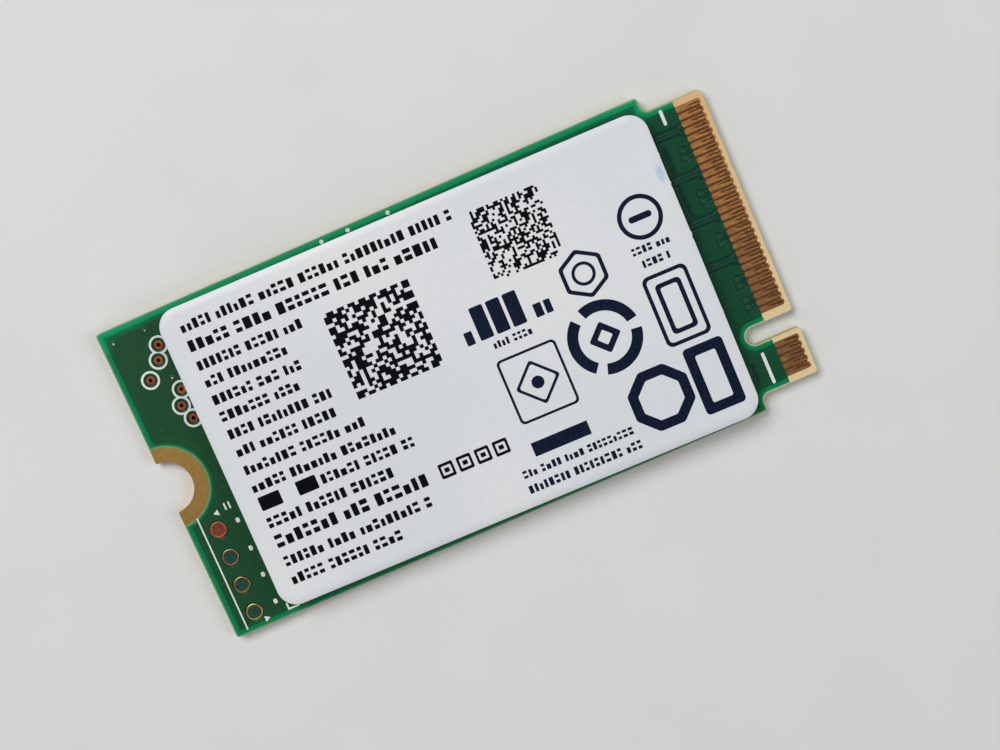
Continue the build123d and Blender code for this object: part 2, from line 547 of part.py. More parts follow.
save("inductor_coils", group(ind_coils))

# --------------------------------------------------------- power manager (QFN)
z0 = BOARD_T
a = PMIC["a"]
body = Pos(PMIC["x"], PMIC["y"], z0 + 0.02 + PMIC["h"] / 2) * Box(a, a, PMIC["h"])
leads, qsolder = [], []
for x, y, turn in qfn_pins(PMIC):
    leads.append(Pos(x, y, z0 + 0.02 + 0.1) * Rot(0, 0, turn) * Box(0.4, 0.24, 0.2))
    cx, cy = local(x, y, turn, 0.12, 0)
    qsolder.append(Pos(cx, cy, (ZC3 + z0 + 0.02) / 2) * Rot(0, 0, turn) * Box(0.62, 0.24, z0 + 0.02 - ZC3))
paddle = Pos(PMIC["x"], PMIC["y"], z0 + 0.02 + 0.1) * Box(2.4, 2.4, 0.2)
pmic_die = Pos(PMIC["x"], PMIC["y"], z0 + 0.22 + 0.1) * Box(1.8, 1.8, 0.2)
dimple = Pos(PMIC["x"] - 1.45, PMIC["y"] + 1.45, z0 + 0.02 + PMIC["h"]) * Cylinder(0.18, 0.06)
body = body - leads - paddle - pmic_die - dimple
qsolder.append(Pos(PMIC["x"], PMIC["y"], (ZC3 + z0 + 0.02) / 2) * Box(2.4, 2.4, z0 + 0.02 - ZC3))
save("power_manager_mould", body)
save("power_manager_leads", group(leads + [paddle]))
save("power_manager_die", pmic_die)
solder += qsolder

# ------------------------------------------------------------------- crystal
c = CRYSTAL
zc = BOARD_T + 0.02
base = Pos(c["x"], c["y"], zc + 0.2) * Box(c["l"], c["w"], 0.40)
base = chamfer(base.edges().filter_by(Axis.Z), 0.12)
base -= Pos(c["x"], c["y"], zc + 0.28) * Box(c["l"] - 0.6, c["w"] - 0.6, 0.24)
cpads = [Pos(c["x"] + px, c["y"] + py, zc + 0.02) * Box(0.75, 0.65, 0.04) for px, py in CR_PADS]
base = base - cpads
lid = Pos(c["x"], c["y"], zc + 0.40 + 0.05) * Box(c["l"] - 0.14, c["w"] - 0.14, 0.10)
lid = fillet(lid.edges().filter_by(Axis.Z), 0.15)
lid = chamfer(lid.faces().sort_by(Axis.Z)[-1].edges(), 0.03)
blank = Pos(c["x"], c["y"], zc + 0.30) * Box(1.5, 1.1, 0.06)
posts = [Pos(c["x"] - 0.6, c["y"] + s * 0.4, zc + 0.215) * Box(0.2, 0.2, 0.11) for s in (-1, 1)]
save("crystal_base", base + posts[0] + posts[1])
save("crystal_lid", lid)
save("crystal_blank", blank)
save("crystal_terminals", group(cpads))
for px, py in CR_PADS:
    solder.append(Pos(c["x"] + px * 1.06, c["y"] + py * 1.06, (ZC3 + zc) / 2) * Box(0.8, 0.7, zc - ZC3))

# ----------------------------------------------------------------- regulator
g = REGULATOR
zr = BOARD_T + 0.10
body = Pos(g["x"], g["y"], zr + g["h"] / 2 - 0.02) * Box(g["l"], g["w"], g["h"] - 0.04)
body = chamfer(body.faces().sort_by(Axis.Z)[-1].edges(), 0.10)
reg_leads = []
for px, s in REG_LEADS:
    t = 0.13
    pts = [(s * 0.55, 1.28), (s * 1.0, 1.28), (s * 1.14, 0.83), (s * 1.45, 0.83), (s * 1.45, 0.83 + t),
           (s * 1.22, 0.83 + t), (s * 1.09, 1.28 + t), (s * 0.55, 1.28 + t), (s * 0.55, 1.28)]
    f = extrude(Plane.YZ * make_face(Polyline(*pts)), amount=0.2, both=True)
    reg_leads.append(Pos(g["x"] + px, g["y"], 0) * f)
    solder.append(box(g["x"] + px - 0.22, g["x"] + px + 0.22, *sorted((g["y"] + s * 1.02, g["y"] + s * 1.6)), ZC3, 0.83))
save("regulator_body", body - reg_leads)
save("regulator_leads", group(reg_leads))
save("solder_joints", group(solder))


# ----------------------------------------------------------- array packages
def balls(places, r):
    z0, z1 = BOARD_T, BOARD_T + STANDOFF
    mid = (z0 + z1) / 2
    prof = make_face(Polyline(
        (0, z0), (BALL_LAND_R, z0), (r, mid), (BALL_LAND_R, z1), (0, z1), (0, z0)))
    one = revolve(Plane.XZ * prof, Axis.Z)
    return group([Pos(x, y, 0) * one for x, y in places])


def package(p):
    z0 = BOARD_T + STANDOFF
    z1 = z0 + SUBSTRATE_T
    z2 = BOARD_T + PACKAGE_TOP
    sub = box(p["x"] - p["l"] / 2, p["x"] + p["l"] / 2, p["y"] - p["w"] / 2, p["y"] + p["w"] / 2, z0, z1)
    mould = box(p["x"] - p["l"] / 2, p["x"] + p["l"] / 2, p["y"] - p["w"] / 2, p["y"] + p["w"] / 2, z1, z2)
    mould = fillet(mould.edges().filter_by(Axis.Z), 0.12)
    mould = chamfer(mould.faces().sort_by(Axis.Z)[-1].edges(), 0.04)
    mould -= Pos(p["x"] + p["l"] / 2 - 0.9, p["y"] + p["w"] / 2 - 0.9, z2) * Cylinder(0.35, 0.08)
    return sub, mould, z1


def wire(place, x_die, z_die, x_pad, z_pad, t=0.03):
    """A bonded wire in its own plane, as a thin bent strip."""
    top = z_die + 0.10
    xm = x_die + (x_pad - x_die) * 0.35
    s = 1 if x_pad > x_die else -1
    pts = [(x_die, z_die), (x_die, top), (xm, top), (x_pad, z_pad + t), (x_pad, z_pad), (x_pad - s * t * 1.6, z_pad),
           (xm - s * t * 0.4, top - t), (x_die + s * t, top - t), (x_die + s * t, z_die), (x_die, z_die)]
    return place * extrude(Plane.XZ * make_face(Polyline(*pts)), amount=t / 2, both=True)


# Flash package: four stepped dies.
sub, mould, zt = package(FLASH)
DIE_T, FILM_T, STEP = 0.085, 0.015, 0.35
dies, films_f, wires = [], [], []
for k in range(4):
    zk = zt + k * (DIE_T + FILM_T)
    cx, cy = FLASH["x"] - 0.5 + k * STEP, FLASH["y"]
    films_f.append(Pos(cx, cy, zk + FILM_T / 2) * Box(8.4, 13.5, FILM_T))
    dies.append(Pos(cx, cy, zk + FILM_T + DIE_T / 2) * Box(8.4, 13.5, DIE_T))
x_edge = FLASH["x"] - 0.5 - 4.2
for j in range(14):
    y = FLASH["y"] - 6.2 + j * 0.95
    xk = x_edge + (3 if j % 2 else 0) * STEP + 0.08
    zk = zt + (4 if j % 2 else 1) * (DIE_T + FILM_T)
    wires.append(wire(Pos(0, y, 0), xk, zk, x_edge - 0.5, zt))
mould_f = mould - [Pos(0, 0, 0) * s for s in dies + films_f] - wires
save("flash_substrate", sub)
save("flash_mould", mould_f)
save("flash_dies", group(dies))
save("flash_die_films", group(films_f))
save("flash_bond_wires", group(wires))
save("flash_solder_balls", balls(FLASH_BALLS, 0.22))

# Controller package: one die, wires on all four sides.
sub, mould, zt = package(CONTROLLER)
die = Pos(CONTROLLER["x"], CONTROLLER["y"], zt + FILM_T + 0.09) * Box(4.8, 4.8, 0.18)
film = Pos(CONTROLLER["x"], CONTROLLER["y"], zt + FILM_T / 2) * Box(4.8, 4.8, FILM_T)
wires = []
for side in range(4):
    for j in range(6):
        t = -2.0 + j * 0.8
        place = Pos(CONTROLLER["x"], CONTROLLER["y"], 0) * Rot(0, 0, 90 * side) * Pos(0, t, 0)
        wires.append(wire(place, 2.3, zt + FILM_T + 0.18, 3.3, zt))
save("controller_substrate", sub)
save("controller_mould", mould - die - film - wires)
save("controller_die", die)
save("controller_die_film", film)
save("controller_bond_wires", group(wires))
save("controller_solder_balls", balls(CONTROLLER_BALLS, 0.20))

# --------------------------------------------------------------------- label
turned = Pos(LABEL_CX, LABEL_CY) * Rot(0, 0, LABEL_TURN)
label_plan = turned * RectangleRounded(LABEL_L, LABEL_W, LABEL_R)
save("label_adhesive", slab(label_plan, Z_LABEL, Z_LABEL + ADHESIVE_T))
save("label_film", slab(label_plan, Z_LABEL + ADHESIVE_T, Z_LABEL + ADHESIVE_T + LABEL_T))

# Printing: plain bars for lines of type, random blocks for the data squares,
# and plain geometric marks.  Places are in the label's own frame.
rng = random.Random(42)
ink = []


def word_bars(x0, x1, y, h, gap):
    x = x0
    while x < x1 - h:
        n = rng.uniform(2.2, 6.5) * h
        e = min(x + n, x1)
        if x1 - e < 1.5 * h:
            e = x1
        ink.append(Pos((x + e) / 2, y) * Rectangle(e - x, h * 0.62))
        x = e + gap


LINES = [
    (-15.85, 3.5, 9.20, 0.80), (-15.85, 2.2, 7.90, 0.95), (-15.85, -8.4, 6.50, 0.66), (-15.85, -9.5, 5.33, 0.66),
    (-15.85, -9.4, 4.10, 0.66), (-15.85, -10.0, 2.85, 0.66), (-15.85, -8.5, 1.60, 0.66), (-15.85, -8.6, 0.25, 0.66),
    (-15.85, -7.1, -1.00, 0.66), (-15.85, -5.3, -2.30, 0.66), (-15.85, -4.9, -3.45, 0.66), (-15.85, -6.9, -4.85, 0.75),
    (-15.85, -5.0, -6.10, 0.95), (-4.2, 0.8, -6.05, 1.10), (-15.85, -5.4, -7.55, 0.70), (-15.85, -7.9, -8.90, 0.70),
    (2.3, 5.2, 0.05, 0.42), (0.7, 8.9, -8.60, 0.60), (0.7, 8.9, -9.62, 0.66),
    (12.9, 15.7, 1.98, 0.50), (13.3, 15.3, 1.02, 0.50),
]
for x0, x1, y, h in LINES:
    word_bars(x0, x1, y, h, 0.42)


def data_square(cx, cy, side, n):
    c = side / n
    for i in range(n):
        j = 0
        while j < n:
            if rng.random() < 0.5:
                k = j
                while k + 1 < n and rng.random() < 0.5:
                    k += 1
                ink.append(Pos(cx - side / 2 + (j + k + 1) / 2 * c, cy - side / 2 + (i + 0.5) * c)
                           * Rectangle((k - j + 1) * c * 0.96, c * 0.94))
                j = k + 2
            else:
                j += 1


data_square(-4.1, 3.3, 6.0, 12)
data_square(6.55, 6.15, 4.8, 12)
marks = []
marks += [Pos(14.3, 3.85) * (Circle(1.42) - Circle(1.12)), Pos(14.3, 3.85) * Circle(0.42)]
hexa = Pos(9.6, 1.95) * (RegularPolygon(1.62, 6) - RegularPolygon(1.25, 6))
marks += [hexa, Pos(9.6, 1.95) * Circle(0.42)]
marks += [Pos(9.25, -2.35) * (Circle(2.45) - Circle(1.82)), Pos(9.25, -2.35) * RegularPolygon(1.0, 4)]
marks += [Pos(2.0, 1.75) * Rot(0, 0, 0) * Rectangle(0.9, 2.0), Pos(3.4, 1.75) * Rectangle(0.9, 2.0),
          Pos(4.8, 1.75) * Rectangle(0.9, 2.0)]
marks += [Pos(14.3, -2.3) * (RectangleRounded(3.0, 4.8, 0.5) - RectangleRounded(1.9, 3.7, 0.3))]
marks += [Pos(4.1, -3.3) * (RectangleRounded(4.2, 4.2, 0.4) - RectangleRounded(3.6, 3.6, 0.25)),
          Pos(4.1, -3.3) * Rot(0, 0, 45) * (Rectangle(2.3, 2.3) - Rectangle(1.8, 1.8)),
          Pos(4.1, -7.3) * Rectangle(4.0, 0.9)]
marks += [Pos(10.0, -7.6) * Rot(0, 0, 45) * (Rectangle(3.1, 3.1) - Rectangle(1.9, 1.9))]
marks += [Pos(14.5, -7.6) * (Rectangle(2.9, 4.2) - Rectangle(1.6, 2.9))]
ink_plan = turned * (Sketch() + (ink + marks))
zi = Z_LABEL + ADHESIVE_T + LABEL_T
save("label_print", slab(ink_plan, zi, zi + INK_T))

print(len(written), "nodes")
for k, v in written.items():
    print(f"  {k}: {len(v)} solids")
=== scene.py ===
import bpy, bmesh, json, math, random
import numpy as np
from mathutils import Matrix, Vector


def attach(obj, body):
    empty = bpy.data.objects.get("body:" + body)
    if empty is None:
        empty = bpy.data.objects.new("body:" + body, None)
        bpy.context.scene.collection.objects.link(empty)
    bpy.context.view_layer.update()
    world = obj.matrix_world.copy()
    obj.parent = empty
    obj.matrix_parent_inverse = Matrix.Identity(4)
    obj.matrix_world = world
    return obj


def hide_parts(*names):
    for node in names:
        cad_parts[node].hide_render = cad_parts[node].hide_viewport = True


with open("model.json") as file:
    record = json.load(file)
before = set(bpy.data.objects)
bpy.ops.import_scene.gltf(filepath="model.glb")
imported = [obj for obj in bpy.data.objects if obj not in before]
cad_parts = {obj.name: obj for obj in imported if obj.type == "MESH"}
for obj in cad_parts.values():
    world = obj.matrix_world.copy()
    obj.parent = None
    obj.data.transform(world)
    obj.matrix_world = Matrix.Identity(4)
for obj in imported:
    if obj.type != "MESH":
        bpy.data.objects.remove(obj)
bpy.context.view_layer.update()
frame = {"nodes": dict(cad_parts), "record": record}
NODES = frame["nodes"]
MM = 0.001
rng = random.Random(7)


def lin(r, g, b):
    """sRGB 0-255 to linear RGBA."""
    out = []
    for c in (r, g, b):
        c /= 255.0
        out.append(c / 12.92 if c <= 0.04045 else ((c + 0.055) / 1.055) ** 2.4)
    return (*out, 1.0)


# --------------------------------------------------------------- node helper
class Mat:
    """A material with a small helper for wiring nodes. Lengths are in millimetres."""

    def __init__(self, name):
        self.m = bpy.data.materials.new(name)
        self.m.use_nodes = True
        self.nt = self.m.node_tree
        self.nt.nodes.clear()
        self.out = self.nt.nodes.new("ShaderNodeOutputMaterial")
        self.bsdf = self.nt.nodes.new("ShaderNodeBsdfPrincipled")
        self.nt.links.new(self.bsdf.outputs[0], self.out.inputs[0])
        tc = self.nt.nodes.new("ShaderNodeTexCoord")
        s = self.nt.nodes.new("ShaderNodeVectorMath")
        s.operation = "SCALE"
        self.nt.links.new(tc.outputs["Object"], s.inputs[0])
        s.inputs["Scale"].default_value = 1000.0
        self.pos = s.outputs[0]
        sep = self.nt.nodes.new("ShaderNodeSeparateXYZ")
        self.nt.links.new(self.pos, sep.inputs[0])
        self.x, self.y, self.z = sep.outputs

    def put(self, socket, v):
        if isinstance(v, bpy.types.NodeSocket):
            self.nt.links.new(v, socket)
        else:
            socket.default_value = v

    def op(self, kind, a, b=0.0, c=0.0, clamp=False):
        n = self.nt.nodes.new("ShaderNodeMath")
        n.operation = kind
        n.use_clamp = clamp
        self.put(n.inputs[0], a)
        self.put(n.inputs[1], b)
        self.put(n.inputs[2], c)
        return n.outputs[0]

    def add(self, a, b): return self.op("ADD", a, b)
    def sub(self, a, b): return self.op("SUBTRACT", a, b)
    def mul(self, a, b): return self.op("MULTIPLY", a, b)
    def low(self, a, b): return self.op("MINIMUM", a, b)
    def high(self, a, b): return self.op("MAXIMUM", a, b)
    def mag(self, a): return self.op("ABSOLUTE", a)

    def step(self, v, a, b, lo=0.0, hi=1.0):
        n = self.nt.nodes.new("ShaderNodeMapRange")
        n.interpolation_type = "SMOOTHSTEP"
        self.put(n.inputs["Value"], v)
        n.inputs["From Min"].default_value = a
        n.inputs["From Max"].default_value = b
        n.inputs["To Min"].default_value = lo
        n.inputs["To Max"].default_value = hi
        return n.outputs["Result"]

    def noise(self, scale, detail=3.0, rough=0.55, vec=None, seed=0.0, stretch=None):
        n = self.nt.nodes.new("ShaderNodeTexNoise")
        n.noise_dimensions = "4D"
        src = self.pos if vec is None else vec
        if stretch:
            st = self.nt.nodes.new("ShaderNodeVectorMath")
            st.operation = "MULTIPLY"
            self.put(st.inputs[0], src)
            st.inputs[1].default_value = stretch
            src = st.outputs[0]
        self.put(n.inputs["Vector"], src)
        n.inputs["W"].default_value = seed
        n.inputs["Scale"].default_value = scale
        n.inputs["Detail"].default_value = detail
        n.inputs["Roughness"].default_value = rough
        return n.outputs[0]

    def cells(self, scale, seed=0.0, feature="F1", vec=None):
        n = self.nt.nodes.new("ShaderNodeTexVoronoi")
        n.voronoi_dimensions = "4D"
        n.feature = feature
        self.put(n.inputs["Vector"], self.pos if vec is None else vec)
        n.inputs["W"].default_value = seed
        n.inputs["Scale"].default_value = scale
        return n.outputs["Distance"]

    def mix(self, f, a, b):
        n = self.nt.nodes.new("ShaderNodeMix")
        n.data_type = "RGBA"
        self.put(n.inputs[0], f)
        self.put(n.inputs[6], a)
        self.put(n.inputs[7], b)
        return n.outputs[2]

    def vec(self, x, y, z):
        n = self.nt.nodes.new("ShaderNodeCombineXYZ")
        self.put(n.inputs[0], x)
        self.put(n.inputs[1], y)
        self.put(n.inputs[2], z)
        return n.outputs[0]

    def true_z(self):
        g = self.nt.nodes.new("ShaderNodeNewGeometry")
        n = self.nt.nodes.new("ShaderNodeSeparateXYZ")
        self.nt.links.new(g.outputs["True Normal"], n.inputs[0])
        return n.outputs[2]

    def bump(self, height, depth_mm, strength=1.0, bevel=0.0):
        n = self.nt.nodes.new("ShaderNodeBump")
        if bevel:
            soft = self.nt.nodes.new("ShaderNodeBevel")
            soft.samples = 8
            soft.inputs["Radius"].default_value = bevel * MM
            self.nt.links.new(soft.outputs[0], n.inputs["Normal"])
        n.inputs["Strength"].default_value = strength
        n.inputs["Distance"].default_value = depth_mm * MM
        self.put(n.inputs["Height"], height)
        self.nt.links.new(n.outputs[0], self.bsdf.inputs["Normal"])

    def set(self, **kw):
        names = {"color": "Base Color", "rough": "Roughness", "metal": "Metallic", "spec": "Specular IOR Level",
                 "coat": "Coat Weight", "coat_rough": "Coat Roughness", "sss": "Subsurface Weight", "ior": "IOR"}
        for k, v in kw.items():
            self.put(self.bsdf.inputs[names[k]], v)
        return self.m


def plain(name, color, rough, metal=0.0, grain=12.0, vary=0.12, seed=1.0, bump=0.004, spec=0.5, dark=None):
    """Base material for small parts: two-scale colour variation, roughness variation and fine bump."""
    m = Mat(name)
    c = lin(*color)
    d = dark and lin(*dark) or tuple(v * (1 - 2.2 * vary) for v in c[:3]) + (1.0,)
    n1 = m.noise(grain, 4.0, seed=seed)
    n2 = m.noise(grain * 0.12, 2.0, seed=seed + 3)
    f = m.step(m.add(m.mul(n1, 0.6), m.mul(n2, 0.4)), 0.35, 0.68)
    m.bump(n1, bump)
    return m.set(color=m.mix(f, d, c), rough=m.add(rough - 0.06, m.mul(n1, 0.14)), metal=metal, spec=spec)


# ----------------------------------------------------------- board materials
KEY_Y = -6.125


def outline_depth(m):
    """Distance in from the card's edge, in millimetres, as nodes."""
    ay = m.mag(m.y)
    ends = m.low(m.add(m.x, 21.0), m.sub(21.0, m.x))
    # the shoulders, with their 0.5 mm inner radius
    qx = m.high(m.sub(17.5, m.x), 0.0)
    qy = m.high(m.sub(10.425, ay), 0.0)
    neck = m.sub(m.op("SQRT", m.add(m.mul(qx, qx), m.mul(qy, qy))), 0.5)
    d = m.low(m.low(ends, m.sub(11.0, ay)), neck)
    kx = m.low(m.sub(m.x, 18.1), 0.0)
    ky = m.sub(m.y, KEY_Y)
    key = m.sub(m.op("SQRT", m.add(m.mul(kx, kx), m.mul(ky, ky))), 0.6)
    hx = m.add(m.x, 21.0)
    hole = m.sub(m.op("SQRT", m.add(m.mul(hx, hx), m.mul(m.y, m.y))), 2.75)
    return m.low(m.low(d, key), hole)


def mask_material(name="green_solder_mask", bevel=0.028):
    m = Mat(name)
    depth = outline_depth(m)
    wob = m.noise(1.6, 3.0, seed=4.0)
    lift = m.mag(m.sub(m.z, 0.4))
    copper = m.step(lift, 0.386, 0.396)
    fine = m.noise(9.0, 5.0, seed=1.0)
    broad = m.noise(0.35, 2.0, seed=2.0)
    # no copper under the rim, so light comes through the glass there
    speckle = m.mul(m.sub(m.noise(5.0, 3.0, seed=8.0), 0.5), 0.16)
    rim = m.step(m.add(m.add(depth, m.mul(m.sub(wob, 0.5), 0.24)), speckle), 0.86, 0.10)
    gap = m.mix(m.step(fine, 0.2, 0.8), lin(0, 49, 38), lin(0, 58, 45))
    over = m.mix(m.step(m.add(m.mul(fine, 0.5), m.mul(broad, 0.5)), 0.30, 0.70), lin(5, 64, 40), lin(12, 73, 46))
    warm = m.mix(m.step(fine, 0.2, 0.8), lin(22, 68, 36), lin(28, 76, 41))
    over = m.mix(m.step(m.x, 6.0, -18.0, 0.0, 0.7), over, warm)
    bright = m.mix(m.step(fine, 0.2, 0.8), lin(0, 114, 70), lin(2, 130, 80))
    far = m.step(m.y, 9.2, 10.2)
    bright = m.mix(far, bright, lin(3, 150, 96))
    c = m.mix(copper, gap, over)
    leak = m.sub(0.85, m.mul(far, 0.40))
    c = m.mix(m.mul(rim, m.sub(1.0, m.mul(copper, leak))), c, bright)
    # the coat thins out at the routed edges and the pale glass shows
    routed = m.step(m.x, 14.8, 16.4, 0.30, 0.95)
    ragged = m.mul(m.sub(m.noise(7.0, 3.0, seed=14.0), 0.5), 0.05)
    pale = m.mul(m.step(m.add(depth, ragged), 0.125, 0.035), m.mul(routed, m.sub(1.0, m.mul(far, 0.65))))
    c = m.mix(pale, c, lin(184, 198, 150))
    dust = m.mul(m.step(m.cells(2.6, seed=15.0), 0.07, 0.03), m.step(m.noise(0.9, 1.0, seed=16.0), 0.55, 0.62))
    c = m.mix(m.mul(dust, 0.5), c, lin(120, 160, 130))
    # painted shade: steep steps over the copper edges are coloured dark green by their slope, and kept dull
    flat = m.step(m.mag(m.true_z()), 0.55, 0.92)
    hem = m.step(m.mag(m.sub(depth, 0.42)), 0.10, 0.05)
    c = m.mix(m.mul(m.sub(1.0, flat), 0.75), c, lin(4, 60, 40))
    m.bump(m.add(m.mul(fine, 0.25), m.mul(m.noise(1.6, 2.0, seed=5.0), 0.9)), 0.004, bevel=bevel)
    dull = m.high(m.sub(1.0, flat), hem)
    return m.set(color=c, rough=m.add(m.add(0.22, m.mul(fine, 0.12)), m.mul(dull, 0.4)),
                 spec=m.mul(m.sub(1.0, m.mul(dull, 0.9)), 0.42))


def laminate_material():
    m = Mat("glass_epoxy_laminate")
    fibre_x = m.noise(3.0, 3.0, stretch=(0.5, 9.0, 9.0), seed=1.0)
    fibre_y = m.noise(3.0, 3.0, stretch=(9.0, 0.5, 9.0), seed=2.0)
    f = m.mul(m.add(fibre_x, fibre_y), 0.5)
    broad = m.noise(0.5, 2.0, seed=6.0)
    cream = m.mix(m.step(f, 0.25, 0.75), lin(214, 189, 140), lin(225, 202, 156))
    cream = m.mix(m.mul(m.step(m.add(m.mul(m.y, 0.05), broad), 0.35, 1.05), 0.75), cream, lin(212, 168, 116))
    # between the fingers the resin is stained and in shade
    field = m.mul(m.step(m.x, 20.66, 20.56), m.step(m.x, 18.9, 18.95))
    rows = m.high(m.mul(m.step(m.y, 9.50, 9.40), m.step(m.y, -5.02, -4.92)),
                  m.mul(m.step(m.y, -7.18, -7.28), m.step(m.y, -9.50, -9.40)))
    stain = m.noise(4.0, 3.0, seed=7.0)
    dark = m.mix(m.step(stain, 0.35, 0.65), lin(50, 28, 12), lin(98, 58, 30))
    c = m.mix(m.mul(m.mul(field, rows), 0.97), cream, dark)
    # mask creeps a little way in between the fingers
    creep = m.mul(m.step(m.add(m.x, m.mul(m.sub(stain, 0.5), 0.10)), 19.09, 19.03), rows)
    c = m.mix(creep, c, lin(0, 62, 40))
    # cut edges are greener and paler, with the glass layers showing
    depth = outline_depth(m)
    side = m.step(depth, 0.02, 0.005)
    layers = m.noise(2.0, 3.0, stretch=(0.6, 0.6, 14.0), seed=3.0)
    edge = m.mix(m.step(layers, 0.35, 0.65), lin(150, 150, 92), lin(204, 200, 142))
    c = m.mix(side, c, edge)
    m.bump(m.add(f, m.mul(layers, 0.5)), 0.006)
    return m.set(color=c, rough=m.add(0.46, m.mul(fibre_x, 0.2)), spec=0.22)


def contact_material(name, phase, seed):
    """Gold-plated fingers with the wipe marks left by a socket."""
    m = Mat(name)
    t = m.add(m.mul(m.y, 2.0), phase)
    pin = m.op("FLOOR", t)
    v = m.sub(m.sub(t, pin), 0.5)
    r1 = m.noise(1.0, 0.0, vec=m.vec(m.mul(pin, 3.71), 2.2, 0.0), seed=seed)
    r2 = m.noise(1.0, 0.0, vec=m.vec(m.mul(pin, 5.13), 7.7, 0.0), seed=seed + 2)
    r3 = m.noise(1.0, 0.0, vec=m.vec(m.mul(pin, 2.37), 4.1, 0.0), seed=seed + 4)
    fine = m.noise(26.0, 4.0, seed=seed + 1)
    brushed = m.noise(5.0, 3.0, stretch=(0.5, 6.0, 1.0), seed=seed + 5)
    patch = m.noise(3.4, 4.0, stretch=(0.8, 1.5, 1.0), seed=seed + 6)
    start = m.add(19.28, m.mul(r1, 0.62))
    along = m.mul(m.step(m.sub(m.x, start), -0.12, 0.30), m.step(m.x, 20.70, 20.56))
    centre = m.add(m.add(0.05, m.mul(m.sub(r2, 0.5), 0.34)), m.mul(m.sub(m.x, 20.1), -0.05))
    ragged = m.mul(m.sub(m.noise(4.6, 4.0, stretch=(1.0, 1.5, 1.0), seed=seed + 7), 0.5), 0.44)
    width = m.add(m.add(0.035, m.mul(r3, 0.15)), m.mul(m.sub(m.x, 19.9), 0.06))
    across = m.step(m.sub(m.mag(m.add(m.sub(v, centre), ragged)), width), 0.05, -0.04)
    wipe = m.mul(along, across)
    # the fingers are brighter towards one end of the row and browner towards the other
    row = m.step(m.add(m.y, m.mul(m.sub(r1, 0.5), 5.0)), -8.0, 6.0)
    tarnish = m.step(m.add(m.mul(patch, 0.75), m.mul(brushed, 0.25)), 0.36, 0.62)
    warm = m.mix(tarnish, lin(212, 150, 78), lin(172, 116, 70))
    brown = m.mix(tarnish, lin(176, 122, 78), lin(144, 97, 63))
    gold = m.mix(row, brown, warm)
    # painted highlight: bright gold patches near where each wipe starts
    painted_glint = m.mul(m.step(patch, 0.56, 0.70), m.step(m.sub(m.x, start), 0.30, -0.20))
    gold = m.mix(m.mul(painted_glint, 0.55), gold, lin(238, 172, 84))
    c = m.mix(m.mul(wipe, 0.92), gold, m.mix(patch, lin(58, 31, 8), lin(92, 54, 20)))
    edge = m.step(m.add(m.mag(v), m.mul(ragged, 0.12)), 0.27, 0.36)
    c = m.mix(m.mul(edge, 0.40), c, lin(110, 70, 44))
    # the ends under the mask are rounded
    nose = m.add(m.step(m.x, 19.14, 18.98), 0.0)
    corner = m.mul(nose, m.step(m.mag(v), 0.16, 0.33))
    c = m.mix(m.mul(corner, 0.85), c, lin(24, 54, 34))
    m.bump(m.add(m.mul(brushed, 0.6), m.mul(wipe, -0.9)), 0.007)
    return m.set(color=c, rough=m.add(m.add(0.34, m.mul(fine, 0.12)), m.mul(wipe, 0.22)), metal=0.80)


def gold_material():
    m = Mat("gold_plate")
    fine = m.noise(20.0, 4.0, seed=3.0)
    br = m.noise(2.4, 3.0, seed=8.0)
    c = m.mix(m.step(br, 0.25, 0.75), lin(218, 170, 94), lin(230, 187, 110))
    m.bump(fine, 0.003)
    return m.set(color=c, rough=m.add(0.26, m.mul(fine, 0.16)), metal=1.0)


def copper_material():
    m = Mat("bare_copper")
    fine = m.noise(20.0, 4.0, seed=3.0)
    br = m.noise(3.0, 3.0, seed=8.0)
    c = m.mix(m.step(br, 0.35, 0.65), lin(146, 74, 40), lin(184, 106, 62))
    m.bump(fine, 0.003)
    return m.set(color=c, rough=m.add(0.30, m.mul(fine, 0.2)), metal=0.9)


def ink_white_material():
    m = Mat("white_marking_ink")
    fine = m.noise(22.0, 4.0, seed=6.0)
    c = m.mix(m.step(fine, 0.32, 0.6), lin(196, 206, 198), lin(228, 233, 228))
    m.bump(fine, 0.006)
    return m.set(color=c, rough=m.add(0.45, m.mul(fine, 0.2)))


def label_material():
    m = Mat("satin_label_film")
    fine = m.noise(34.0, 4.0, seed=1.0)
    mid = m.noise(2.6, 3.0, seed=2.0)
    broad = m.noise(0.08, 1.0, seed=3.0)
    base = m.mix(m.step(m.add(m.mul(broad, 0.7), m.mul(mid, 0.3)), 0.35, 0.65), lin(214, 218, 222), lin(222, 224, 226))
    # dust specks
    spot = m.cells(0.85, seed=5.0)
    speck = m.mul(m.step(spot, 0.055, 0.03), m.step(m.noise(0.7, 1.0, seed=9.0), 0.52, 0.6))
    c = m.mix(m.mul(speck, 0.35), base, lin(120, 124, 130))
    # a faint blue smear near the contact end
    sx = m.sub(m.x, 16.50)
    sy = m.sub(m.y, 6.12)
    a = m.op("SQRT", m.add(m.mul(m.mul(sx, sx), 10.0), m.mul(m.mul(sy, sy), 1.45)))
    smear = m.mul(m.step(a, 1.10, 0.35), m.step(m.noise(2.0, 3.0, seed=11.0), 0.30, 0.56))
    c = m.mix(m.mul(smear, 0.66), c, lin(158, 182, 228))
    m.bump(m.add(m.mul(fine, 0.5), m.mul(mid, 0.6)), 0.004)
    return m.set(color=c, rough=m.add(0.36, m.mul(fine, 0.14)), spec=0.45)


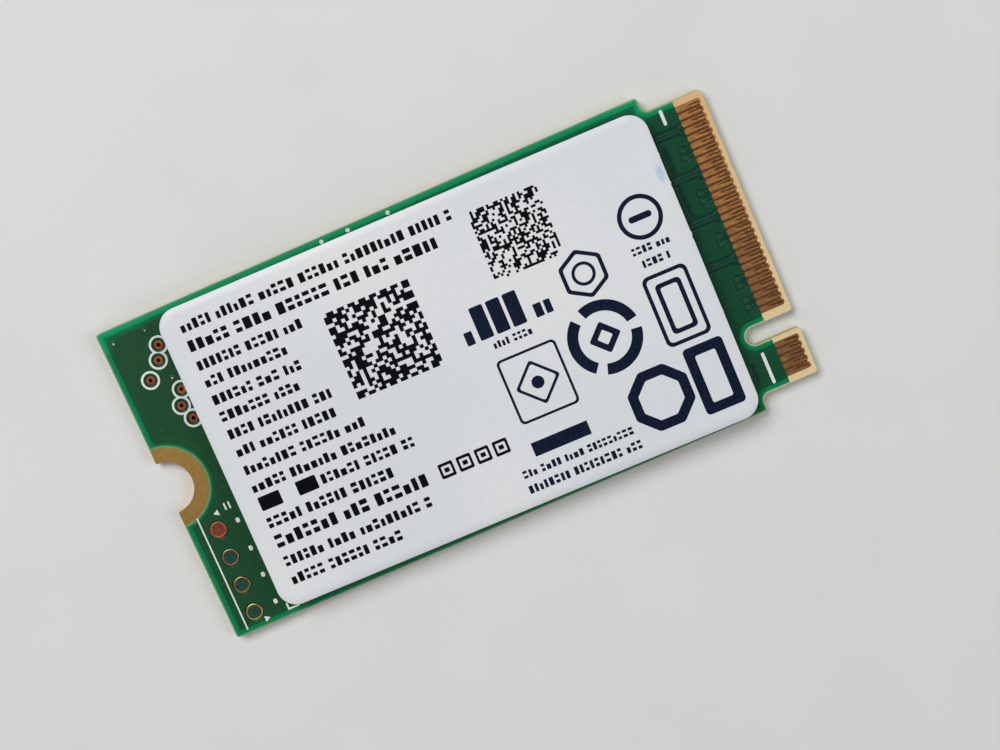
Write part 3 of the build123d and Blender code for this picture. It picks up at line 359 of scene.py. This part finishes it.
def label_ink_material(name, a, b, seed, grain=0.16, gloss=0.07):
    m = Mat(name)
    fine = m.noise(30.0, 4.0, seed=seed)
    mid = m.noise(6.0, 3.0, seed=seed + 1)
    pin = m.mul(m.step(m.cells(9.0, seed=seed + 2), 0.40, 0.12), m.step(mid, 0.36, 0.60))
    c = m.mix(m.step(m.add(m.mul(fine, 0.5), m.mul(mid, 0.5)), 0.34, 0.66), lin(*a), lin(*b))
    c = m.mix(m.mul(pin, grain), c, lin(84, 94, 128))
    m.bump(fine, 0.003)
    return m.set(color=c, rough=m.add(0.40, m.mul(mid, 0.2)), spec=gloss)


def mould_material():
    m = Mat("moulded_epoxy")
    fine = m.noise(40.0, 5.0, seed=1.0)
    filler = m.step(m.cells(16.0, seed=2.0), 0.16, 0.05)
    broad = m.noise(0.5, 2.0, seed=3.0)
    c = m.mix(m.step(broad, 0.3, 0.7), lin(26, 27, 29), lin(38, 39, 41))
    c = m.mix(m.mul(filler, 0.5), c, lin(86, 88, 90))
    m.bump(fine, 0.012)
    return m.set(color=c, rough=m.add(0.50, m.mul(fine, 0.2)), spec=0.35)


SLOT = {}
SLOT["solder_mask"] = mask_material()
SLOT["laminate"] = laminate_material()
SLOT["copper"] = copper_material()
SLOT["gold_plate"] = gold_material()
SLOT["marking_ink"] = ink_white_material()
SLOT["label_paper"] = label_material()
SLOT["label_adhesive"] = plain("label_adhesive", (214, 212, 200), 0.45, grain=8.0, vary=0.06)
SLOT["mould_compound"] = mould_material()
SLOT["package_substrate"] = plain("package_substrate", (46, 74, 40), 0.40, grain=14.0, vary=0.10, dark=(28, 50, 28))
SLOT["silicon"] = plain("silicon", (120, 124, 134), 0.22, metal=0.4, grain=20.0, vary=0.06)
SLOT["die_film"] = plain("die_film", (170, 160, 120), 0.5, grain=16.0)
SLOT["bond_wire"] = plain("bond_wire", (230, 190, 110), 0.25, metal=1.0, grain=60.0)
SLOT["solder"] = plain("solder", (196, 198, 202), 0.28, metal=0.95, grain=10.0, vary=0.10, bump=0.010)
SLOT["tin_plate"] = plain("tin_plate", (206, 206, 204), 0.34, metal=0.95, grain=18.0, vary=0.08, bump=0.006)
SLOT["capacitor_ceramic"] = plain("capacitor_ceramic", (172, 138, 100), 0.42, grain=22.0, vary=0.10, dark=(138, 104, 72))
SLOT["resistor_ceramic"] = plain("resistor_ceramic", (228, 228, 222), 0.50, grain=20.0, vary=0.05)
SLOT["resistor_glass"] = plain("resistor_glass", (30, 30, 34), 0.22, grain=12.0, vary=0.12)
SLOT["fuse_ceramic"] = plain("fuse_ceramic", (196, 210, 196), 0.40, grain=18.0, vary=0.07)
SLOT["ferrite"] = plain("ferrite", (58, 58, 62), 0.45, grain=20.0, vary=0.12)
SLOT["inductor_composite"] = plain("inductor_composite", (74, 75, 78), 0.60, grain=26.0, vary=0.14, bump=0.014)
SLOT["crystal_ceramic"] = plain("crystal_ceramic", (196, 184, 158), 0.50, grain=18.0, vary=0.07)
SLOT["crystal_metal"] = plain("crystal_metal", (206, 200, 186), 0.26, metal=1.0, grain=30.0, vary=0.07)
SLOT["quartz"] = plain("quartz", (218, 224, 232), 0.15, grain=10.0, vary=0.05)
SLOT["label_ink"] = label_ink_material("label_type_ink", (1, 3, 6), (8, 10, 15), 1.0, 0.06)
MARK_INK = label_ink_material("label_mark_ink", (2, 13, 34), (16, 28, 52), 21.0, 0.30, 0.10)
FINGERS_TOP = contact_material("gold_fingers_top", 0.0, 1.0)
FINGERS_BOTTOM = contact_material("gold_fingers_bottom", 0.5, 31.0)

slot_of = {s["node"]: s["material_slot"] for s in frame["record"]["subparts"]}
for name, ob in NODES.items():
    mat = SLOT[slot_of[name]]
    if name == "edge_contacts_top":
        mat = FINGERS_TOP
    elif name == "edge_contacts_bottom":
        mat = FINGERS_BOTTOM
    elif name == "probe_eyelets":
        mat = SLOT["copper"]
    if not ob.data.materials:
        ob.data.materials.append(None)
    for k in range(len(ob.material_slots)):
        ob.material_slots[k].link = "OBJECT"
        ob.material_slots[k].material = mat


# ------------------------------------------------------------------ the label
LABEL_C = (-0.075, -0.005)
LABEL_L, LABEL_W, LABEL_R = 33.78, 21.03, 1.30
LABEL_A = math.radians(-0.64)
PRINT_SHIFT = (0.07, 0.06)   # the printing sits slightly off the middle of the film
Z_LABEL = 1.85
FILM_T = 0.11
CA, SA = math.cos(LABEL_A), math.sin(LABEL_A)
SUPPORTS = [(-12.4, -0.4, -9.0, 9.0), (3.7, 14.7, -6.1, 4.9)]


def to_card(u, v):
    """Label frame to card frame, in millimetres."""
    return LABEL_C[0] + u * CA - v * SA, LABEL_C[1] + u * SA + v * CA


def label_height(x, y):
    """Underside of the label above the card's underside: flat on the two packages, easing down past them."""
    d = min(math.hypot(max(a - x, 0, x - b), max(c - y, 0, y - e)) for a, b, c, e in SUPPORTS)
    ease = 0.028 * (1 - math.exp(-(d / 3.2) ** 2))
    u, v = x - LABEL_C[0], y - LABEL_C[1]
    corner = max(0.0, abs(u) - 14.6) * max(0.0, abs(v) - 8.2)
    lift = 0.016 * corner if u < 0 else 0.010 * corner
    wave = 0.004 * math.sin(0.9 * x + 0.5 * y) * math.sin(0.55 * y - 0.3 * x + 1.1)
    return Z_LABEL - ease + lift * 0.6 + wave


def new_object(name, bm, smooth=True):
    me = bpy.data.meshes.new(name)
    bm.normal_update()
    bm.to_mesh(me)
    bm.free()
    ob = bpy.data.objects.new(name, me)
    bpy.context.scene.collection.objects.link(ob)
    if smooth:
        for p in me.polygons:
            p.use_smooth = True
    return ob


def rounded_rect(l, w, r, n=14):
    pts = []
    for cx, cy, a0 in ((l / 2 - r, w / 2 - r, 0), (-l / 2 + r, w / 2 - r, 90), (-l / 2 + r, -w / 2 + r, 180),
                       (l / 2 - r, -w / 2 + r, 270)):
        for k in range(n + 1):
            a = math.radians(a0 + 90 * k / n)
            pts.append((cx + r * math.cos(a), cy + r * math.sin(a)))
    return pts


def ring_at(t):
    """Concentric loops of the label outline, from the edge inwards: t is the inset in millimetres."""
    r = max(LABEL_R - t, 0.02)
    return rounded_rect(LABEL_L - 2 * t, LABEL_W - 2 * t, r)


def dense(loop, step):
    out = []
    for (xa, ya), (xb, yb) in zip(loop, loop[1:] + loop[:1]):
        d = math.hypot(xb - xa, yb - ya)
        n = max(1, round(d / step))
        for k in range(n):
            out.append((xa + (xb - xa) * k / n, ya + (yb - ya) * k / n))
    return out


# Small burrs and a nick left by the cutting die on the contact side: place, height, width.
NICKS = ((7.42, 0.030, 0.08), (5.48, 0.040, 0.08), (5.26, -0.030, 0.08), (1.98, 0.065, 0.09), (1.70, -0.045, 0.07), (-3.4, 0.02, 0.09))


def sheet(name, inset, z_low, z_high, round_edge, step=0.55, nicks=False):
    """A thin sheet over the label's height field: a grid cut to the rounded outline, with eased edges."""
    bm = bmesh.new()
    l, w, r = LABEL_L - 2 * inset, LABEL_W - 2 * inset, max(LABEL_R - inset, 0.1)
    loop = dense(rounded_rect(l, w, r), 0.12 if nicks else step)
    if nicks:
        out = []
        for px, py in loop:
            for v0, amp, wide in NICKS:
                if px > l / 2 - 0.05 and abs(py - v0) < 3 * wide:
                    px += amp * math.exp(-((py - v0) / wide) ** 2)
            out.append((px, py))
        loop = out
    nu, nv = int(l / step), int(w / step)
    inner = []
    margin = step * 0.75

    def inside(u, v):
        qx, qy = abs(u) - (l / 2 - r), abs(v) - (w / 2 - r)
        return math.hypot(max(qx, 0), max(qy, 0)) + min(max(qx, qy), 0) - r < -margin

    for i in range(nu + 1):
        for j in range(nv + 1):
            u, v = -l / 2 + l * i / nu, -w / 2 + w * j / nv
            if inside(u, v):
                inner.append((u, v))
    from mathutils.geometry import delaunay_2d_cdt
    pts = [Vector(p) for p in loop + inner]
    n = len(loop)
    edges = [(k, (k + 1) % n) for k in range(n)]
    verts, _, faces, came_from, *_ = delaunay_2d_cdt(pts, edges, [list(range(n))], 1, 1e-5)
    top, bottom = [], []
    for p in verts:
        x, y = to_card(p.x, p.y)
        h = label_height(x, y)
        top.append(bm.verts.new((x * MM, y * MM, (h + z_high) * MM)))
        bottom.append(bm.verts.new((x * MM, y * MM, (h + z_low) * MM)))
    for f in faces:
        bm.faces.new([top[k] for k in f])
        bm.faces.new([bottom[k] for k in reversed(f)])
    # the side wall, eased at the top by a small rounded lip
    lip = []
    for k in range(n):
        px, py = loop[k]
        qx, qy = loop[(k + 1) % n]
        ox, oy = loop[k - 1]
        tx, ty = qx - ox, qy - oy
        s = math.hypot(tx, ty) or 1
        nx, ny = ty / s, -tx / s
        x, y = to_card(px + nx * round_edge, py + ny * round_edge)
        h = label_height(x, y)
        lip.append((bm.verts.new((x * MM, y * MM, (h + z_high - round_edge) * MM)),
                    bm.verts.new((x * MM, y * MM, (h + z_low + round_edge * 0.3) * MM))))
    place = {o: k for k, src in enumerate(came_from) for o in src}
    idx = [place[k] for k in range(n)]
    for k in range(n):
        a, b = idx[k], idx[(k + 1) % n]
        la, lb = lip[k], lip[(k + 1) % n]
        bm.faces.new((top[b], top[a], la[0], lb[0]))
        bm.faces.new((lb[0], la[0], la[1], lb[1]))
        bm.faces.new((lb[1], la[1], bottom[a], bottom[b]))
    bmesh.ops.recalc_face_normals(bm, faces=bm.faces[:])
    return new_object(name, bm)


film = sheet("label_sheet", 0.012, 0.032, FILM_T, 0.012, nicks=True)
film.data.materials.append(SLOT["label_paper"])
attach(film, "root")
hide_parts("label_film")
glue = sheet("label_glue_layer", 0.10, 0.0, 0.031, 0.004, step=0.9)
glue.data.materials.append(SLOT["label_adhesive"])
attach(glue, "root")
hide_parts("label_adhesive")

# ------------------------------------------------------------- label printing
# Every shape is a closed thin island of ink on the label: (outline loops, material).
INK = []


def island(loops, mark=0):
    INK.append((loops, mark))


def rect(cx, cy, l, w, turn=0.0, r=0.0, n=4):
    if r > 0:
        pts = rounded_rect(l, w, r, n)
    else:
        pts = [(-l / 2, -w / 2), (l / 2, -w / 2), (l / 2, w / 2), (-l / 2, w / 2)]
    c, s = math.cos(math.radians(turn)), math.sin(math.radians(turn))
    return [(cx + x * c - y * s, cy + x * s + y * c) for x, y in pts]


def circle(cx, cy, r, n=64):
    return [(cx + r * math.cos(2 * math.pi * k / n), cy + r * math.sin(2 * math.pi * k / n)) for k in range(n)]


def poly(cx, cy, r, n, turn=0.0, soft=0.0):
    base = [(cx + r * math.cos(math.radians(turn + 360 * k / n)), cy + r * math.sin(math.radians(turn + 360 * k / n)))
            for k in range(n)]
    if soft <= 0:
        return base
    out = []
    for k in range(n):
        p, q, o = base[k], base[(k + 1) % n], base[k - 1]
        for t in np.linspace(0, 1, 7):
            a = (p[0] + (o[0] - p[0]) * soft, p[1] + (o[1] - p[1]) * soft)
            b = (p[0] + (q[0] - p[0]) * soft, p[1] + (q[1] - p[1]) * soft)
            out.append(((1 - t) ** 2 * a[0] + 2 * t * (1 - t) * p[0] + t * t * b[0],
                        (1 - t) ** 2 * a[1] + 2 * t * (1 - t) * p[1] + t * t * b[1]))
    return out


def type_line(x0, x1, y, cap, heavy=0.0, mark=0):
    """A line of type set as plain blocks: words of solid blocks, no letters."""
    x = x0
    while x < x1 - 0.3 * cap:
        n = rng.randint(3, 9)
        for _ in range(n):
            w = cap * rng.choice((0.36, 0.42, 0.46, 0.50, 0.56)) * (1 + heavy * 0.35)
            if x + w > x1:
                break
            r = 0.05 * cap
            kind = rng.random()
            if kind < 0.34 and w > 0.4 * cap:
                # a pair of stacked blocks keeps the line's weight near that of type
                low = cap * rng.uniform(0.34, 0.42)
                island([rect(x + w / 2, y - cap / 2 + low / 2, w, low, r=r, n=2)], mark)
                island([rect(x + w / 2, y + cap / 2 - low / 2, w, low * 0.92, r=r, n=2)], mark)
            else:
                h = cap * rng.choice((0.68, 0.72, 0.92, 0.96, 0.96))
                island([rect(x + w / 2, y - cap / 2 + h / 2, w, h, r=r, n=2)], mark)
            x += w + cap * 0.22
        x += cap * 0.40


LINES = [
    (-15.65, 3.47, 9.05, 0.70, 0), (-15.65, 2.19, 7.76, 0.80, 0.5), (-15.65, -8.25, 6.39, 0.68, 0),
    (-15.65, -9.30, 5.20, 0.68, 0), (-15.65, -9.25, 3.95, 0.68, 0), (-15.65, -9.85, 2.76, 0.68, 0),
    (-15.65, -8.30, 1.51, 0.68, 0), (-15.65, -8.45, 0.26, 0.68, 0), (-15.65, -6.90, -1.03, 0.68, 0),
    (-15.68, -5.20, -2.30, 0.68, 0), (-11.3, -4.73, -3.50, 0.68, 0), (-15.68, -6.70, -4.83, 0.72, 0),
    (-15.70, -4.95, -6.15, 0.88, 0.2), (-15.70, -5.28, -7.58, 0.70, 0), (-15.75, -7.70, -8.86, 0.70, 0),
]
for x0, x1, y, cap, heavy in LINES:
    type_line(x0, x1, y, cap, heavy)
for cx, w in ((-14.90, 1.50), (-12.30, 1.40)):
    island([rect(cx, -3.48, w, 0.95, r=0.08, n=3)])
for k in range(4):
    island([rect(-3.55 + 1.27 * k, -6.10, 1.00, 1.02, r=0.10, n=3), rect(-3.55 + 1.27 * k, -6.10, 0.66, 0.62, r=0.05, n=3)])
    island([rect(-3.55 + 1.27 * k, -6.10, 0.34, 0.30, r=0.04, n=3)])
for x0, x1, y, cap in ((0.85, 8.80, -8.39, 0.52), (0.85, 8.85, -9.43, 0.58), (12.85, 15.50, 2.20, 0.50),
                       (13.20, 15.15, 1.26, 0.50), (2.40, 5.20, 0.18, 0.50)):
    type_line(x0, x1, y, cap, 0, 1)


def random_field(cx, cy, side, n, fill, border, mark=0):
    """A square of random blocks with no code in it: cells joined into blobs, traced as rectangles of runs."""
    c = side / n
    grid = [[rng.random() < fill for _ in range(n)] for _ in range(n)]
    for i in range(n):
        for j in range(n):
            if border and (i in (0, n - 1) or j in (0, n - 1)):
                grid[i][j] = (i + j) % 3 != 2
    seen = [[False] * n for _ in range(n)]
    for i in range(n):
        for j in range(n):
            if not grid[i][j] or seen[i][j]:
                continue
            e = j
            while e + 1 < n and grid[i][e + 1] and not seen[i][e + 1]:
                e += 1
            b = i
            while b + 1 < n and all(grid[b + 1][k] and not seen[b + 1][k] for k in range(j, e + 1)):
                b += 1
            for a in range(i, b + 1):
                for k in range(j, e + 1):
                    seen[a][k] = True
            l, w = (e - j + 1) * c, (b - i + 1) * c
            island([rect(cx - side / 2 + j * c + l / 2, cy - side / 2 + i * c + w / 2, l + 0.006, w + 0.006)], mark)


random_field(-3.98, 3.33, 5.96, 24, 0.56, True)
random_field(6.49, 6.31, 4.75, 29, 0.50, False)

# plain geometric marks where approval marks would be
island([circle(14.2, 4.16, 1.47), circle(14.2, 4.16, 1.18)], 1)
island([rect(14.2, 4.16, 1.55, 0.42, r=0.2, n=6)], 1)
island([poly(9.5, 2.22, 1.66, 6, 30, 0.12), poly(9.5, 2.22, 1.36, 6, 30, 0.12)], 1)
island([circle(9.5, 2.22, 0.78), circle(9.5, 2.22, 0.57)], 1)
for k in range(3):
    island([rect(2.25 + 1.15 * k, 1.88, 0.92, 2.25, r=0.10, n=3)], 1)
island([rect(1.15, 1.2, 0.55, 0.9, r=0.06, n=3)], 1)
island([rect(5.95, 1.2, 0.55, 0.9, r=0.06, n=3)], 1)
island([rect(6.62, 1.2, 0.45, 0.9, r=0.06, n=3)], 1)
# thick broken ring with a square in it
for a0 in (12, 132, 252):
    arc = [(9.2 + 2.45 * math.cos(math.radians(a)), -2.1 + 2.45 * math.sin(math.radians(a))) for a in range(a0, a0 + 105, 3)]
    arc += [(9.2 + 1.72 * math.cos(math.radians(a)), -2.1 + 1.72 * math.sin(math.radians(a)))
            for a in range(a0 + 102, a0 - 3, -3)]
    island([arc], 1)
island([rect(9.2, -2.1, 1.55, 1.55, 45, r=0.14), rect(9.2, -2.1, 0.75, 0.75, 45, r=0.08)], 1)
# tall nested frames
island([rect(14.2, -2.0, 3.05, 4.85, r=0.45, n=8), rect(14.2, -2.0, 2.55, 4.35, r=0.28, n=8)], 1)
island([rect(14.2, -2.0, 1.75, 3.45, r=0.30, n=8), rect(14.2, -2.0, 1.15, 2.85, r=0.16, n=8)], 1)
# open tray outline with a bar below
island([rect(4.1, -3.1, 4.1, 4.5, r=0.35, n=8), rect(4.1, -3.1, 3.76, 4.16, r=0.22, n=8)], 1)
island([poly(4.1, -3.1, 1.55, 4, 0, 0.10), poly(4.1, -3.1, 1.28, 4, 0, 0.10)], 1)
island([circle(4.1, -3.1, 0.42)], 1)
island([rect(4.05, -7.10, 3.92, 0.94)], 1)
# two heavy shapes at the corner
island([poly(11.05, -7.15, 2.22, 8, 22.5, 0.10), poly(11.05, -7.15, 1.50, 8, 22.5, 0.08)], 1)
island([rect(14.72, -7.15, 2.72, 4.6, r=0.30, n=8), rect(14.72, -7.15, 1.40, 3.28, r=0.14, n=8)], 1)


def split_loop(loop, step=1.0):
    return dense(loop, step)


def build_ink():
    from mathutils.geometry import delaunay_2d_cdt
    bm = bmesh.new()
    for loops, mark in INK:
        loops = [split_loop(l) for l in loops]
        pts, edges, faces_in = [], [], []
        for l in loops:
            s = len(pts)
            pts += [Vector(p) for p in l]
            edges += [(s + k, s + (k + 1) % len(l)) for k in range(len(l))]
        verts, _, faces, *_ = delaunay_2d_cdt(pts, edges, [], 0, 1e-6)

        def within(px, py, loop):
            c = False
            for (xa, ya), (xb, yb) in zip(loop, loop[1:] + loop[:1]):
                if (ya > py) != (yb > py) and px < (xb - xa) * (py - ya) / (yb - ya) + xa:
                    c = not c
            return c

        top, low = [], []
        for p in verts:
            x, y = to_card(p.x + PRINT_SHIFT[0], p.y + PRINT_SHIFT[1])
            h = label_height(x, y) + FILM_T
            top.append(bm.verts.new((x * MM, y * MM, (h + 0.0055) * MM)))
            low.append(bm.verts.new((x * MM, y * MM, (h - 0.0030) * MM)))
        used = {}
        for f in faces:
            gx = sum(verts[k].x for k in f) / len(f)
            gy = sum(verts[k].y for k in f) / len(f)
            if sum(within(gx, gy, l) for l in loops) % 2 == 0:
                continue
            a = bm.faces.new([top[k] for k in f])
            b = bm.faces.new([low[k] for k in reversed(f)])
            a.material_index = b.material_index = mark
            for k in range(len(f)):
                e = (f[k], f[(k + 1) % len(f)])
                if (e[1], e[0]) in used:
                    del used[(e[1], e[0])]
                else:
                    used[e] = True
        for a, b in used:
            q = bm.faces.new((top[b], top[a], low[a], low[b]))
            q.material_index = mark
    loose = [v for v in bm.verts if not v.link_faces]
    bmesh.ops.delete(bm, geom=loose, context="VERTS")
    bmesh.ops.recalc_face_normals(bm, faces=bm.faces[:])
    return new_object("label_printing", bm, smooth=False)


printing = build_ink()
printing.data.materials.append(SLOT["label_ink"])
printing.data.materials.append(MARK_INK)
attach(printing, "root")
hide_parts("label_print")

# ------------------------------------------------------- tented vias in relief
VIAS_TOP = [(18.42, (38 - n) * 0.25 - (0.03 if n % 4 == 3 else 0.02)) for n in (11, 13, 23, 25, 35, 37, 47, 49, 53, 55)]
VIAS_TOP += [(-20.17, 10.03), (-17.95, 10.03), (-17.62, 6.5), (-19.7, 3.6), (-19.7, -3.25), (-17.6, -1.4), (-17.4, -6.8),
             (-20.0, -6.8)]
VIAS_BOTTOM = [(x, y) for x, y in VIAS_TOP] + [
    (16.35, y + s) for y in (8.03, 5.06, 2.06, -0.95) for s in (-0.25, 0.25)] + [
    (3.3, 5.2), (3.3, -7.5), (-12.9, 8.0), (-12.9, -5.0), (-13.0, 3.0), (-0.1, 9.9), (-0.1, -9.9), (15.2, -2.1),
    (-16.9, 0.5), (-16.9, -2.2), (-12.8, 10.2), (-9.0, 10.2), (-5.0, 10.2), (-3.0, -10.2), (-7.0, -10.2),
    (-11.0, -10.2), (3.4, 10.2), (10.0, 10.2), (13.3, 10.3), (3.4, -10.2), (9.0, -10.2), (13.9, -10.2), (16.5, 9.9),
    (16.6, -8.4), (16.7, -6.6), (3.2, 0.0), (3.2, -2.1), (15.15, 0.5), (15.15, 3.1), (-12.9, -9.9)]


CAP_MASK = mask_material("green_solder_mask_caps", 0.0)


def via_highlight_material():
    """A pale dot in the middle of the via caps near the upper left corner, green elsewhere: a painted highlight."""
    m = Mat("via_painted_highlight")
    n = m.noise(0.35, 1.0, seed=31.0)
    fine = m.noise(18.0, 3.0, seed=32.0)
    c = m.mix(m.mul(m.step(m.x, -16.5, -17.2), m.step(m.y, 5.4, 6.0)), lin(26, 80, 50), m.mix(m.step(n, 0.35, 0.50), lin(150, 182, 156), lin(196, 214, 196)))
    m.bump(fine, 0.002)
    return m.set(color=c, rough=m.add(0.38, m.mul(fine, 0.1)), spec=0.5)


CAP_HIGHLIGHT = via_highlight_material()


def via_caps(name, places, z, side):
    """Low domes with a dimple where the mask covers each filled via."""
    prof = [(0.0, 0.0016), (0.062, 0.0020), (0.09, 0.0036), (0.125, 0.0052), (0.165, 0.0042), (0.20, 0.0005), (0.215, -0.004)]
    bm = bmesh.new()
    n = 20
    for x, y in places:
        rows = []
        for r, h in prof:
            if r == 0:
                rows.append([bm.verts.new((x * MM, y * MM, (z + side * h) * MM))])
            else:
                rows.append([bm.verts.new(((x + r * math.cos(2 * math.pi * k / n)) * MM,
                                           (y + r * math.sin(2 * math.pi * k / n)) * MM, (z + side * h) * MM))
                             for k in range(n)])
        base = bm.verts.new((x * MM, y * MM, (z - side * 0.008) * MM))
        for k in range(n):
            # the centre fan of each cap takes the painted highlight material
            bm.faces.new((rows[0][0], rows[1][k], rows[1][(k + 1) % n])).material_index = 1
            for j, (a, b) in enumerate(zip(rows[1:], rows[2:])):
                bm.faces.new((a[k], b[k], b[(k + 1) % n], a[(k + 1) % n])).material_index = 0
            bm.faces.new((rows[-1][(k + 1) % n], rows[-1][k], base))
    bmesh.ops.recalc_face_normals(bm, faces=bm.faces[:])
    ob = new_object(name, bm)
    ob.data.materials.append(CAP_MASK)
    ob.data.materials.append(CAP_HIGHLIGHT)
    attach(ob, "root")
    return ob


via_caps("tented_vias_top", VIAS_TOP, 0.800, 1)
via_caps("tented_vias_bottom", VIAS_BOTTOM, 0.0, -1)

# ---------------------------------------------------------- dished test pads
def pad_band_material():
    m = Mat("tarnished_pad")
    n = m.noise(7.0, 4.0, seed=2.0)
    c = m.mix(m.step(n, 0.35, 0.65), lin(54, 56, 34), lin(92, 80, 48))
    m.bump(n, 0.004)
    return m.set(color=c, rough=m.add(0.30, m.mul(n, 0.2)), metal=0.6)


def lip_material():
    m = Mat("plated_lip")
    n = m.noise(2.2, 3.0, seed=5.0)
    fine = m.noise(20.0, 3.0, seed=6.0)
    # painted shadow, in part: both lip colours are darkened part of the way towards the shade over the pads; the lowest
    # pad's lip is darker and browner
    lowest_pad_lip = m.mix(m.step(n, 0.36, 0.64), lin(158, 124, 76), lin(170, 160, 120))
    c = m.mix(m.step(n, 0.36, 0.64), lin(178, 138, 76), lin(194, 182, 126))
    c = m.mix(m.step(m.y, -8.9, -8.7), c, lowest_pad_lip)
    m.bump(fine, 0.003)
    return m.set(color=c, rough=m.add(0.28, m.mul(fine, 0.16)), metal=0.85)


def plug_material():
    m = Mat("resin_plug")
    n = m.noise(9.0, 4.0, seed=3.0)
    c = m.mix(m.step(n, 0.32, 0.66), lin(0, 50, 48), lin(4, 78, 68))
    m.bump(n, 0.010)
    return m.set(color=c, rough=m.add(0.30, m.mul(n, 0.2)), spec=0.4)


def first_pad_material():
    m = Mat("worn_copper_pad")
    n = m.noise(5.0, 4.0, seed=4.0)
    px, py = m.add(m.x, 19.10), m.add(m.y, 3.85)
    r = m.op("SQRT", m.add(m.mul(px, px), m.mul(py, py)))
    c = m.mix(m.step(n, 0.35, 0.65), lin(112, 56, 36), lin(140, 78, 52))
    c = m.mix(m.step(r, 0.40, 0.46), c, m.mix(m.step(n, 0.35, 0.65), lin(156, 80, 44), lin(182, 100, 56)))
    m.bump(n, 0.004)
    return m.set(color=c, rough=m.add(0.34, m.mul(n, 0.2)), metal=0.6)


def test_pad_dishes():
    """Each round pad: a plated lip standing just above the mask, a tarnished band, and a resin plug."""
    prof = [(0.0, 0.8030, 2), (0.16, 0.8028, 2), (0.30, 0.8034, 2), (0.335, 0.8050, 1), (0.37, 0.8040, 1),
            (0.43, 0.8062, 1), (0.455, 0.8120, 0), (0.485, 0.8170, 0), (0.515, 0.8165, 0), (0.545, 0.8100, 0),
            (0.556, 0.8010, 0), (0.556, 0.7900, 0)]
    bm = bmesh.new()
    n = 72
    for k0, (x, y) in enumerate(((-19.10, -3.85), (-19.14, -5.84), (-19.22, -7.84), (-19.24, -9.83))):
        rows = []
        for r, z, _ in prof:
            if r == 0:
                rows.append([bm.verts.new((x * MM, y * MM, z * MM))])
                continue
            ring = []
            for k in range(n):
                a = 2 * math.pi * k / n
                wob = 1 + 0.010 * math.sin(3 * a + k0) + 0.006 * math.sin(7 * a + 2 * k0)
                ring.append(bm.verts.new(((x + r * wob * math.cos(a)) * MM, (y + r * wob * math.sin(a)) * MM, z * MM)))
            rows.append(ring)
        base = bm.verts.new((x * MM, y * MM, 0.789 * MM))
        for k in range(n):
            f = bm.faces.new((rows[0][0], rows[1][k], rows[1][(k + 1) % n]))
            f.material_index = 3 if k0 == 0 else 2
            for j in range(1, len(rows) - 1):
                f = bm.faces.new((rows[j][k], rows[j + 1][k], rows[j + 1][(k + 1) % n], rows[j][(k + 1) % n]))
                kind = prof[j][2]
                f.material_index = 3 if k0 == 0 else kind
            bm.faces.new((rows[-1][k], base, rows[-1][(k + 1) % n]))
    bmesh.ops.recalc_face_normals(bm, faces=bm.faces[:])
    ob = new_object("test_pad_dishes", bm)
    for mat in (lip_material(), pad_band_material(), plug_material(), first_pad_material()):
        ob.data.materials.append(mat)
    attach(ob, "root")
    return ob


test_pad_dishes()

# ------------------------------------------------------------ stage and camera
floor_m = Mat("pale_floor")
fn = floor_m.noise(0.12, 3.0, seed=1.0)
floor_m.set(color=floor_m.mix(fn, lin(214, 214, 213), lin(221, 221, 220)), rough=0.7)
bm = bmesh.new()
bmesh.ops.create_grid(bm, x_segments=8, y_segments=8, size=0.6)
floor = new_object("floor", bm, smooth=False)
floor.location.z = -0.02 * MM
floor.data.materials.append(floor_m.m)


def area(name, loc, target, size, power, color=(1, 1, 1)):
    la = bpy.data.lights.new(name, "AREA")
    la.shape = "RECTANGLE"
    la.size, la.size_y = size
    la.energy = power
    la.color = color
    ob = bpy.data.objects.new(name, la)
    ob.location = loc
    d = Vector(target) - Vector(loc)
    ob.rotation_euler = d.to_track_quat("-Z", "Y").to_euler()
    bpy.context.scene.collection.objects.link(ob)
    return ob


area("key_light", (-0.10, 0.22, 0.34), (0, 0, 0), (0.26, 0.20), 1.35, (1.0, 0.99, 0.97))
area("fill_light", (0.26, -0.10, 0.26), (0, 0, 0), (0.24, 0.24), 0.45, (0.96, 0.98, 1.0))
area("low_light", (-0.22, -0.22, 0.12), (0, 0, 0), (0.2, 0.12), 0.15)
world = bpy.data.worlds.new("studio")
world.use_nodes = True
world.node_tree.nodes["Background"].inputs[0].default_value = (0.86, 0.88, 0.90, 1)
world.node_tree.nodes["Background"].inputs[1].default_value = 0.15
bpy.context.scene.world = world

cam = bpy.data.cameras.new("view")
cam.sensor_width = 36.0
cam.lens = 72.0
cam.clip_start = 0.005
cam_ob = bpy.data.objects.new("view", cam)
right = Vector((0.9163055121434001, -0.4004294538514821, 0.00636088860343156))
up = Vector((0.39710541304014735, 0.9064122805683819, -0.14395856545909042))
back = Vector((0.05187966219854857, 0.13443597034658905, 0.9895632726244117))
rot = Matrix((right, up, back)).transposed().to_4x4()
cam_ob.matrix_world = Matrix.Translation(Vector((0.008681254891332837, 0.01561231484416158, 0.12935606689492105))) @ rot
bpy.context.scene.collection.objects.link(cam_ob)
bpy.context.scene.camera = cam_ob
bpy.context.scene.view_settings.view_transform = "Standard"
bpy.context.scene.view_settings.look = "None"
